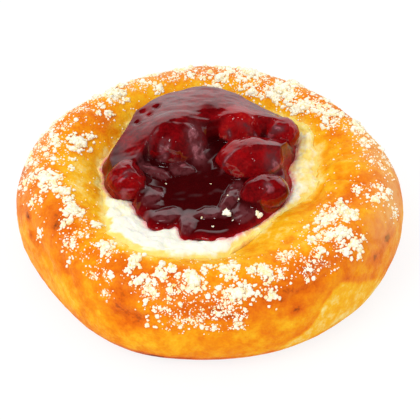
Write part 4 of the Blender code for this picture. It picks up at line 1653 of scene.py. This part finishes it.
@dataclass
class Streusel:
    """The streusel: clumps and crumbs strewn on the bun, down to the finest dust.

    Attributes:
        clumps: The angle, the distance from the middle and the half width of each large clump.
        loose: The same of small clumps that only lie on the crust.
        scattered: The two angles, the two distances and the number of each field of crumbs.
        on_sauce: The place and the half width of each small heap on the sauce.
        core: How large the main grain of a clump is, as a share of the clump.
        shape: A grain's length, width and height, in half widths.
        grains_of_clump: How many small grains a clump has, and how many more by its half width.
        grains_of_crumb: The same of a smaller crumb.
        grains_on_sauce: The same of a heap on the sauce.
        strewn_kinds: How many forms the strewn crumbs have.
        seated_kinds: How many forms the grains of clumps have.
        strewing: The names of the sizes that strewn crumbs are given.
        drifts: Where the streusel lies thick.
    """

    clumps: tuple[Point, ...] = (
        (164, 0.042, 0.0034), (-130, 0.0474, 0.0028), (131, 0.0462, 0.0038), (-72, 0.0484, 0.0024),
        (46, 0.0426, 0.0032), (60, 0.045, 0.0034), (-28, 0.0455, 0.0034), (-95, 0.05, 0.0032),
        (75, 0.048, 0.0032), (-38, 0.049, 0.003), (186, 0.05, 0.0032), (206, 0.0455, 0.0028),
        (34, 0.046, 0.0028), (-84, 0.047, 0.0028),
    )
    loose: tuple[Point, ...] = (
        (71, 0.0412, 0.0026), (62.5, 0.042, 0.0022), (49, 0.0412, 0.0022), (-81.5, 0.0527, 0.0029),
        (-77.5, 0.053, 0.002), (-41.5, 0.047, 0.0022), (-102.5, 0.0528, 0.0018), (98, 0.046, 0.002),
        (112, 0.043, 0.002), (-160, 0.045, 0.0018), (33, 0.043, 0.0022), (-108.4, 0.0574, 0.0011),
        (-105.5, 0.0566, 0.0012), (-92.3, 0.0561, 0.0013), (-88.8, 0.056, 0.0011), (-82.3, 0.0559, 0.0016),
        (-70.9, 0.0541, 0.002), (-95.9, 0.0559, 0.0009), (-79.6, 0.0551, 0.0009),
    )
    scattered: tuple[tuple[float, float, float, float, int], ...] = (
        (22, 90, 0.039, 0.053, 24), (152, 222, 0.039, 0.056, 26),
        (-118, -66, 0.043, 0.0535, 22), (-52, -4, 0.039, 0.055, 24),
        (118, 152, 0.04, 0.054, 8),
    )
    on_sauce: tuple[Point, ...] = (
        (0.005, -0.0178, 0.0011), (0.0145, -0.0182, 0.001), (0.0052, -0.0185, 0.0005), (-0.0133, -0.0052, 0.0003),
        (0.0002, -0.0052, 0.0003), (0.0008, -0.0228, 0.0003), (-0.0024, -0.0196, 0.0003), (0.0068, -0.0205, 0.0003),
        (0.0086, -0.0132, 0.0003), (0.0052, -0.0118, 0.0003),
    )
    smallest: float = 0.0011
    largest: float = 0.0027
    clear_of_curd: float = 0.001
    clear_of_side: float = 0.0002
    core: float = 0.64
    shape: Point = (1.0, 0.88, 0.64)
    grains_of_clump: Place = (8.0, 12000.0)
    grains_of_crumb: Place = (3.0, 5000.0)
    grains_on_sauce: Place = (3.0, 6000.0)
    seed: int = 17
    strewn_kinds: int = 5
    seated_kinds: int = 6
    strewing: tuple[str, ...] = ("Number", "Smallest", "Largest", "Rarity", "Least")
    drifts: tuple[Zone, ...] = (
        Zone(172, 0.007, 13, 0.0065, 0.8), Zone(155, 0.006, 9, 0.0055, 0.8),
        Zone(-176, 0.004, 10, 0.005, 0.5), Zone(-164, -0.0015, 7, 0.0036, 0.2),
        Zone(-152, -0.0008, 5, 0.0032, 0.8), Zone(-141, 0.0045, 6, 0.004, 0.9),
        Zone(-128, 0.005, 5, 0.0045, 0.75), Zone(-126, 0.01, 4, 0.0036, 0.65),
        Zone(-122, 0.015, 3, 0.0022, 0.8), Zone(-117, 0.0048, 4, 0.003, 0.2),
        Zone(-109, 0.0086, 3.8, 0.003, 1.2), Zone(-103, 0.0088, 5, 0.0034, 1),
        Zone(-102, 0.0118, 5, 0.003, 0.9), Zone(-96, 0.0092, 5, 0.0036, 1.1),
        Zone(-93, 0.0145, 6, 0.0032, 0.8), Zone(-88, 0.0096, 5, 0.003, 1.3),
        Zone(-83, 0.0086, 4.4, 0.0028, 2), Zone(-83, 0.016, 5, 0.0026, 0.6),
        Zone(-95, 0.017, 11, 0.0036, 0.5), Zone(-73, 0.0026, 3, 0.0024, 1.4),
        Zone(-71, 0.0104, 2.2, 0.0018, 1), Zone(-65, 0.0045, 5, 0.0032, 0.7),
        Zone(-60, 0.0004, 5, 0.0028, 1), Zone(-59, 0.0062, 4.5, 0.0032, 0.8),
        Zone(-46, 0.0006, 5.5, 0.0042, 1.1), Zone(-39, 0.0028, 5, 0.003, 0.6),
        Zone(-32, -0.004, 5, 0.0034, 0.8), Zone(-26, -0.006, 4, 0.0026, 0.7),
        Zone(-48, 0.008, 6, 0.003, 0.35), Zone(-13, 0.0034, 5, 0.004, 0.95),
        Zone(0, 0.0012, 2.6, 0.0018, 1.1), Zone(8, 0.0065, 9, 0.0045, 0.85),
        Zone(-12.5, 0.014, 2.6, 0.002, 0.9), Zone(22, 0.0045, 7, 0.0045, 1.1),
        Zone(29, -0.0018, 4.5, 0.0028, 1.2), Zone(41, -0.0024, 6.5, 0.004, 1.2),
        Zone(53, 0, 7, 0.005, 1.25), Zone(65, -0.0014, 7, 0.005, 1.3),
        Zone(76, 0.0022, 7, 0.0042, 1.1), Zone(76, -0.0052, 7, 0.0024, 0.7),
        Zone(86, 0.004, 6, 0.0036, 1.05), Zone(94, 0.0018, 7, 0.0036, 0.95),
        Zone(102, 0.0028, 6, 0.0036, 1.1), Zone(110, 0.0025, 6, 0.0036, 1.05),
        Zone(118, 0.001, 6, 0.0036, 1.1), Zone(131, 0.0004, 5, 0.003, 1.3),
        Zone(141, 0.004, 6, 0.0036, 1.05), Zone(70, 0.01, 30, 0.005, 0.45),
        Zone(150, 0.012, 25, 0.005, 0.45),
    )

    def strewn(self, points: Array, turn: Array, along: Array) -> Array:
        """Return how much streusel lies at places on the bun, from 0 to about 1."""
        total = sum(zone.at(turn, along) for zone in self.drifts)
        total = total * (0.14 + 1.05 * ease(-0.16, 0.36, Ripple(0.0046, 100, 3).at(points)))
        stray = 0.06 * ease(0.021, 0.03, points[..., 2])
        dry = ease(0.033, 0.036, reach(points))
        return np.clip((total + stray) * dry, 0.0, 1.4)

    def places(self, bun: Bun) -> list[Point]:
        """Return angle, distance and half width of each crumb that the solid bun has, largest first."""
        found = list(self.clumps)
        chance = random.Random(self.seed)
        for first, last, inner, outer, count in self.scattered:
            for _ in range(count):
                angle = chance.uniform(first, last)
                radius = chance.uniform(inner, outer)
                size = self.smallest + (self.largest - self.smallest) * chance.random() ** 2
                radius = max(radius, float(bun.filling.curd_edge(np.array(angle))) + self.clear_of_curd + size)
                radius = min(radius, float(bun.outline(np.array(angle))) - size)
                found.append((angle, radius, size))
        return sorted(found, key=lambda place: -place[2])

    def seats(self, bun: Bun, sauce: Mesh) -> Mesh:
        """Build loose points where the larger crumbs sit, with their size and the way they face.

        Each clump is one core with many small grains on and round it.

        Args:
            bun: The bun.
            sauce: The sauce's mesh, which a few crumbs lie on.

        Returns:
            A mesh of points only.
        """
        chance = random.Random(self.seed + 2)
        spots: list[tuple[float, float, float, float]] = []
        for angle, radius, half in self.places(bun) + list(self.loose):
            spots.append((angle, radius, half * self.core, 0.0))
            least, rate = self.grains_of_clump if half > self.largest else self.grains_of_crumb
            for _ in range(int(least + rate * half)):
                way = chance.uniform(0.0, math.tau)
                away = half * (0.25 + 0.95 * chance.random())
                size = chance.uniform(0.00024, 0.00034 + 0.17 * half)
                turned = angle + math.degrees(away * math.cos(way) / radius)
                dome = math.sqrt(max(1.0 - (away / (self.core * half)) ** 2, 0.0))
                rise = dome * self.core * self.shape[2] * half
                widest = float(bun.outline(np.array(turned))) - self.clear_of_side
                out = min(radius + away * math.sin(way), widest)
                spots.append((turned, out, size, 0.25 + 0.85 * rise / size))
        points = []
        ways = []
        sizes = []
        for angle, radius, half, stand in spots:
            normal = bun.upward(angle, radius)
            points.append(bun.place(angle, radius) + normal * half * stand)
            ways.append(normal)
            sizes.append(half)
        skin = BVHTree.FromPolygons(read_points(sauce).tolist(), [face.vertices[:] for face in sauce.polygons])
        least, rate = self.grains_on_sauce
        for x, y, half in self.on_sauce:
            for _ in range(int(least + rate * half)):
                spot = [middle + half * chance.uniform(-0.7, 0.7) for middle in (x, y)]
                found, normal, _, _ = skin.ray_cast(Vector((*spot, ABOVE)), DOWN)
                size = half * chance.uniform(0.35, 0.75)
                points.append(np.array(found + normal * size * 0.5))
                ways.append(np.array(normal))
                sizes.append(size)
        mesh = bpy.data.meshes.new("seats")
        mesh.from_pydata([tuple(point) for point in points], [], [])
        paint(mesh, "half", np.array(sizes))
        facing = mesh.attributes.new("facing", "FLOAT_VECTOR", "POINT")
        facing.data.foreach_set("vector", np.array(ways, dtype=np.float32).reshape(-1))
        return mesh

    def kinds(self, bench: Bench, grade: Grade, count: int, rough: float) -> Socket:
        """Add several rough crumbs to a tree, as instances to pick from.

        Args:
            bench: The bench on the tree.
            grade: How finely each crumb is divided.
            count: How many kinds there are.
            rough: How uneven they are.

        Returns:
            The instances' output.
        """
        together = bench.add("GeometryNodeJoinGeometry")
        for number in range(count):
            ball = bench.add("GeometryNodeMeshIcoSphere", {"Radius": 1.0, "Subdivisions": grade.value})
            place = bench.add("GeometryNodeInputPosition").outputs[0]
            shift = bench.vector("ADD", place, (number * 7.1, number * 3.3, 1.7))
            broad = bench.add("ShaderNodeTexNoise", {"Vector": shift, "Scale": 1.3, "Detail": 1.0}).outputs[0]
            fine = bench.add("ShaderNodeTexNoise", {"Vector": shift, "Scale": 3.6, "Detail": 2.0}).outputs[0]
            blend = bench.sum("ADD", bench.times(broad, 1.2), bench.times(fine, 0.8))
            scale = bench.sum("ADD", bench.times(bench.sum("SUBTRACT", blend, 1.0), rough), 1.0)
            squat = bench.vector("MULTIPLY", bench.scaled(place, scale), self.shape)
            moved = bench.add("GeometryNodeSetPosition", {"Geometry": ball.outputs[0], "Position": squat})
            kind = bench.add("GeometryNodeGeometryToInstance", {"Geometry": moved.outputs[0]})
            bench.tree.links.new(kind.outputs[0], together.inputs[0])
        return together.outputs[0]

    @staticmethod
    def chance(bench: Bench, seed: Any, offset: int, low: float = 0.0, high: float = 1.0) -> Socket:
        """Return a random number for each point or instance."""
        node = bench.add("FunctionNodeRandomValue", data_type="FLOAT")
        values = {"Min": low, "Max": high, "Seed": bench.sum("ADD", seed, float(offset))}
        for socket in node.inputs:
            if socket.enabled and socket.name in values:
                bench.put(socket, values[socket.name])
        return next(socket for socket in node.outputs if socket.enabled)

    @staticmethod
    def start_tree(name: str, sizes: tuple[str, ...] = ()) -> tuple[Bench, Node]:
        """Start a tree that changes geometry.

        Args:
            name: The tree's name.
            sizes: The names of its inputs, besides the geometry and the seed.

        Returns:
            A bench on the tree, and its input node.
        """
        face = bpy.data.node_groups.new(name, "GeometryNodeTree").interface
        special = {"Geometry": "NodeSocketGeometry", "Seed": "NodeSocketInt"}
        for label in ("Geometry", *sizes, "Seed"):
            face.new_socket(label, in_out="INPUT", socket_type=special.get(label, "NodeSocketFloat"))
        face.new_socket("Geometry", in_out="OUTPUT", socket_type="NodeSocketGeometry")
        bench = Bench(bpy.data.node_groups[name])
        return bench, bench.add("NodeGroupInput")

    def finish_tree(self, bench: Bench, given: Node, points: Any, rotation: Any, scale: Any,
                    kinds: Any, count: int, material: Material) -> None:
        """Set a crumb on each point, and make one plain mesh of them all.

        Args:
            bench: The bench on the tree.
            given: The tree's input node.
            points: The points.
            rotation: Which way each crumb stands.
            scale: Each crumb's half width.
            kinds: The crumbs to pick from.
            count: How many kinds there are.
            material: The streusel's finish.
        """
        seed = given.outputs["Seed"]
        number = bench.sum("FLOOR", self.chance(bench, seed, 3, 0.0, count - 0.001))
        spin = bench.add("ShaderNodeCombineXYZ", {"Z": self.chance(bench, seed, 4, 0.0, math.tau)}).outputs[0]
        by = bench.add("FunctionNodeEulerToRotation", {"Euler": spin}).outputs[0]
        turned = bench.add(
            "FunctionNodeRotateRotation", {"Rotation": rotation, "Rotate By": by}, rotation_space="LOCAL")
        placed = bench.add("GeometryNodeInstanceOnPoints", {
            "Points": points, "Instance": kinds, "Pick Instance": True, "Instance Index": number,
            "Rotation": turned.outputs[0], "Scale": scale,
        })
        toned = bench.add("GeometryNodeStoreNamedAttribute", {"Geometry": placed.outputs[0], "Name": "tone"},
                          data_type="FLOAT", domain="INSTANCE")
        value = next(socket for socket in toned.inputs if socket.enabled and socket.name == "Value")
        bench.put(value, self.chance(bench, seed, 5))
        solid = bench.add("GeometryNodeRealizeInstances", {"Geometry": toned.outputs[0]})
        smooth = bench.add("GeometryNodeSetShadeSmooth", {"Geometry": solid.outputs[0], "Shade Smooth": True})
        dressed = bench.add("GeometryNodeSetMaterial", {"Geometry": smooth.outputs[0], "Material": material})
        bench.add("NodeGroupOutput", {0: dressed.outputs[0]})

    def scatter_tree(self, grade: Grade, material: Material) -> Tree:
        """Build the tree that strews crumbs over a surface by its attribute "strewn".

        Args:
            grade: How finely each crumb is divided.
            material: The streusel's finish.

        Returns:
            The tree, with its sizes as named inputs.
        """
        bench, given = self.start_tree(f"strew_{grade.name.lower()}", self.strewing)
        number, smallest, largest, rarity, least, seed = (
            given.outputs[label] for label in (*self.strewing, "Seed"))
        mark = bench.add("GeometryNodeInputNamedAttribute", {"Name": "strewn"}, data_type="FLOAT").outputs[0]
        density = bench.times(bench.sum("MAXIMUM", bench.sum("SUBTRACT", mark, least), 0.0), number)
        spread = bench.add("GeometryNodeDistributePointsOnFaces", {
            "Mesh": given.outputs["Geometry"], "Density": density, "Seed": seed,
        }, distribute_method="RANDOM")
        share = bench.sum("POWER", self.chance(bench, seed, 1), rarity)
        size = bench.sum("ADD", smallest, bench.times(bench.sum("SUBTRACT", largest, smallest), share))
        lift = bench.scaled(spread.outputs["Normal"], bench.times(size, self.chance(bench, seed, 2, 0.0, 0.5)))
        raised = bench.add("GeometryNodeSetPosition", {"Geometry": spread.outputs["Points"], "Offset": lift})
        kinds = self.kinds(bench, grade, self.strewn_kinds, 0.9)
        self.finish_tree(bench, given, raised.outputs[0], spread.outputs["Rotation"], size, kinds,
                         self.strewn_kinds, material)
        return bench.tree

    def seat_tree(self, material: Material) -> Tree:
        """Build the tree that sets a clump on each of the given seats.

        Args:
            material: The streusel's finish.

        Returns:
            The tree, with its seed as a named input.
        """
        bench, given = self.start_tree("seat_clumps")
        points = bench.add("GeometryNodeMeshToPoints", {"Mesh": given.outputs["Geometry"]})
        half, way = (
            bench.add("GeometryNodeInputNamedAttribute", {"Name": name}, data_type=kind).outputs[0]
            for name, kind in (("half", "FLOAT"), ("facing", "FLOAT_VECTOR")))
        stand = bench.add("FunctionNodeAlignRotationToVector", {"Vector": way}, axis="Z")
        kinds = self.kinds(bench, Grade.CRUMB, self.seated_kinds, 1.3)
        self.finish_tree(bench, given, points.outputs[0], stand.outputs[0], half, kinds,
                         self.seated_kinds, material)
        return bench.tree

    @staticmethod
    def grow(name: str, source: Mesh, tree: Tree, values: dict[str, float]) -> Mesh:
        """Run a tree on a mesh and keep the plain mesh that comes out.

        Args:
            name: The new mesh's name.
            source: What the tree is run on.
            tree: The tree.
            values: The tree's inputs by name.

        Returns:
            The plain mesh.
        """
        holder = bpy.data.objects.new(name + "_source", source)
        bpy.context.scene.collection.objects.link(holder)
        step = holder.modifiers.new(name, "NODES")
        step.node_group = tree
        for item in tree.interface.items_tree:
            if item.item_type == "SOCKET" and item.in_out == "INPUT" and item.name in values:
                step[item.identifier] = values[item.name]
        graph = bpy.context.evaluated_depsgraph_get()
        mesh = bpy.data.meshes.new_from_object(holder.evaluated_get(graph), depsgraph=graph)
        mesh.name = name
        holder.modifiers.clear()
        bpy.data.objects.remove(holder)
        return mesh

    def build(self, bun: Bun, sauce: Mesh, crust: Mesh, material: Material) -> None:
        """Build and dress the clumps, the crumbs and the dust.

        Args:
            bun: The bun.
            sauce: The sauce's mesh.
            crust: The bun's mesh, with its attribute "strewn".
            material: The streusel's finish.
        """
        clumps = self.grow("clumps", self.seats(bun, sauce), self.seat_tree(material), {"Seed": 5})
        dress("streusel_clumps", clumps, material, Slot.CRUST)
        for name, grade, seed, sizes in (
            ("crumbs", Grade.CRUMB, 3, (900000.0, 0.00026, 0.00092, 2.6, 0.12)),
            ("dust", Grade.DUST, 8, (3600000.0, 0.00012, 0.00036, 1.3, 0.03)),
        ):
            values = {"Seed": seed, **dict(zip(self.strewing, sizes))}
            strewn = self.grow(name, crust, self.scatter_tree(grade, material), values)
            dress(f"streusel_{name}", strewn, material, Slot.CRUST)


@dataclass
class Studio:
    """The camera, the floor and the light."""

    elevation: float = 41.0
    distance: float = 0.62
    aim: float = 0.0145
    view_width: float = 0.13
    sensor: float = 36.0
    floor_size: float = 3.0

    def camera(self) -> None:
        """Set the camera at the photograph's angle."""
        lens = bpy.data.cameras.new("camera")
        lens.sensor_width = self.sensor
        lens.lens = self.sensor * self.distance / self.view_width
        rise = math.radians(self.elevation)
        holder = bpy.data.objects.new("camera", lens)
        holder.location = (0.0, -self.distance * math.cos(rise), self.aim + self.distance * math.sin(rise))
        holder.rotation_euler = (math.radians(90.0 - self.elevation), 0.0, 0.0)
        bpy.context.scene.collection.objects.link(holder)
        bpy.context.scene.camera = holder

    def floor(self) -> None:
        """Lay a plain pale floor."""
        half = self.floor_size / 2.0
        mesh = bpy.data.meshes.new("floor")
        mesh.from_pydata([(-half, -half, -0.0001), (half, -half, -0.0001), (half, half, -0.0001),
                          (-half, half, -0.0001)], [], [(0, 1, 2, 3)])
        bench, shader, material = new_material("floor", Roughness=0.9, Specular_IOR_Level=0.0)
        shader.inputs["Base Color"].default_value = (0.93, 0.93, 0.93, 1.0)
        glow = bench.add("ShaderNodeEmission", {"Color": (1.0, 1.0, 1.0, 1.0), "Strength": 1.05})
        seen = bench.add("ShaderNodeLightPath").outputs["Is Camera Ray"]
        blend = bench.add(
            "ShaderNodeMixShader", {0: bench.times(seen, 0.8), 1: shader.outputs[0], 2: glow.outputs[0]})
        out = next(node for node in material.node_tree.nodes if node.type == "OUTPUT_MATERIAL")
        bench.put(out.inputs["Surface"], blend.outputs[0])
        mesh.materials.append(material)
        plane = bpy.data.objects.new("floor", mesh)
        bpy.context.scene.collection.objects.link(plane)

    def surroundings(self) -> None:
        """Make the white room, which gloss sees as bright low down and dark above."""
        world = bpy.data.worlds.new("studio")
        world.use_nodes = True
        bpy.context.scene.world = world
        bench = Bench(world.node_tree)
        out = next(node for node in world.node_tree.nodes if node.type == "OUTPUT_WORLD")
        path = bench.add("ShaderNodeLightPath")
        place = bench.add("ShaderNodeTexCoord").outputs["Generated"]
        way = bench.add("ShaderNodeSeparateXYZ", {0: place}).outputs
        band = bench.span(way["Z"], 0.02, 0.16, 0.75, 1.0)
        for axis, low, high, start, end in (
            ("Z", 0.65, 0.77, 1.0, 0.008), ("Y", 0.15, 0.62, 0.06, 1.6), ("X", -0.75, -0.15, 0.6, 1.0),
        ):
            band = bench.times(band, bench.span(way[axis], low, high, start, end))
        matte, gloss, seen = (
            bench.add("ShaderNodeBackground", {"Color": colour, "Strength": strength}).outputs[0]
            for colour, strength in (
                ((1.0, 1.0, 1.0, 1.0), 0.92), ((1.0, 0.98, 1.0, 1.0), band), ((1.0, 1.0, 1.0, 1.0), 1.05)))
        for ray, light in (("Is Glossy Ray", gloss), ("Is Camera Ray", seen)):
            matte = bench.add("ShaderNodeMixShader", {0: path.outputs[ray], 1: matte, 2: light}).outputs[0]
        bench.put(out.inputs["Surface"], matte)

    def lamp(self, name: str, place: Point, size: Place, power: float,
             diffuse: bool, glossy: bool, colour: Colour = (1.0, 1.0, 1.0)) -> None:
        """Hang one square lamp that points at the bun.

        Args:
            name: The lamp's name.
            place: Where it hangs.
            size: Its width and height.
            power: Its power in watts.
            diffuse: Whether it lights what is matte.
            glossy: Whether it shows in what is glossy.
            colour: The colour of its light.
        """
        light = bpy.data.lights.new(name, "AREA")
        light.shape = "RECTANGLE"
        light.size, light.size_y = size
        light.energy = power
        light.color = colour
        holder = bpy.data.objects.new(name, light)
        holder.location = place
        holder.rotation_euler = (Vector(place) - Vector((0.0, 0.0, 0.02))).to_track_quat("Z", "Y").to_euler()
        holder.visible_diffuse = diffuse
        holder.visible_glossy = glossy
        bpy.context.scene.collection.objects.link(holder)

    def build(self) -> None:
        """Set up the camera, the floor and the light."""
        self.camera()
        self.floor()
        self.surroundings()
        self.lamp("key", (-0.9, -0.7, 1.5), (0.9, 0.9), 10.0, True, False)
        self.lamp("window", (-0.34, -0.4, 1.15), (0.14, 0.14), 0.6, False, True)
        self.lamp("panel", (0.3, -0.62, 1.0), (0.1, 0.1), 0.35, False, True)
        self.lamp("right_side", (0.78, 0.42, 0.44), (0.16, 0.12), 0.35, False, True, (1.0, 0.84, 1.0))
        bpy.context.scene.view_settings.view_transform = "Standard"


def main() -> None:
    """Build the studio, the bun, the filling, the cherries, the sauce and the streusel."""
    logging.basicConfig(level=logging.INFO, format="%(name)s: %(message)s")
    Studio().build()
    shop = Workshop(mottle_group(), speck_group(), grain_group())
    filling = Filling()
    bun = Bun(filling)
    curd = Curd(filling)
    streusel = Streusel()
    crust = bun.build(curd.smear, streusel.strewn)
    dress("bun", crust, CrustFinish().material(shop), Slot.CRUST, "dough")
    dress("curd_layer", curd.build(bun), CurdFinish().material(shop), Slot.CURD, "curd")
    heap = cherry_heap()
    skin = FruitFinish().material(shop)
    fruits = [fruit.build(number) for number, fruit in enumerate(heap, 1)]
    for number, mesh in enumerate(fruits, 1):
        dress(f"fruit_{number}", mesh, skin, Slot.CHERRY, f"cherry_{number}")
    filled = Sauce()
    sauce = filled.build(bun, curd, fruits, heap)
    filled.painted_shine(fruits)
    dress("cherry_sauce", sauce, SauceFinish().material(shop), Slot.SAUCE, "sauce")
    streusel.build(bun, sauce, crust, CrumbFinish().material(shop))


if __name__ == "__main__":
    main()
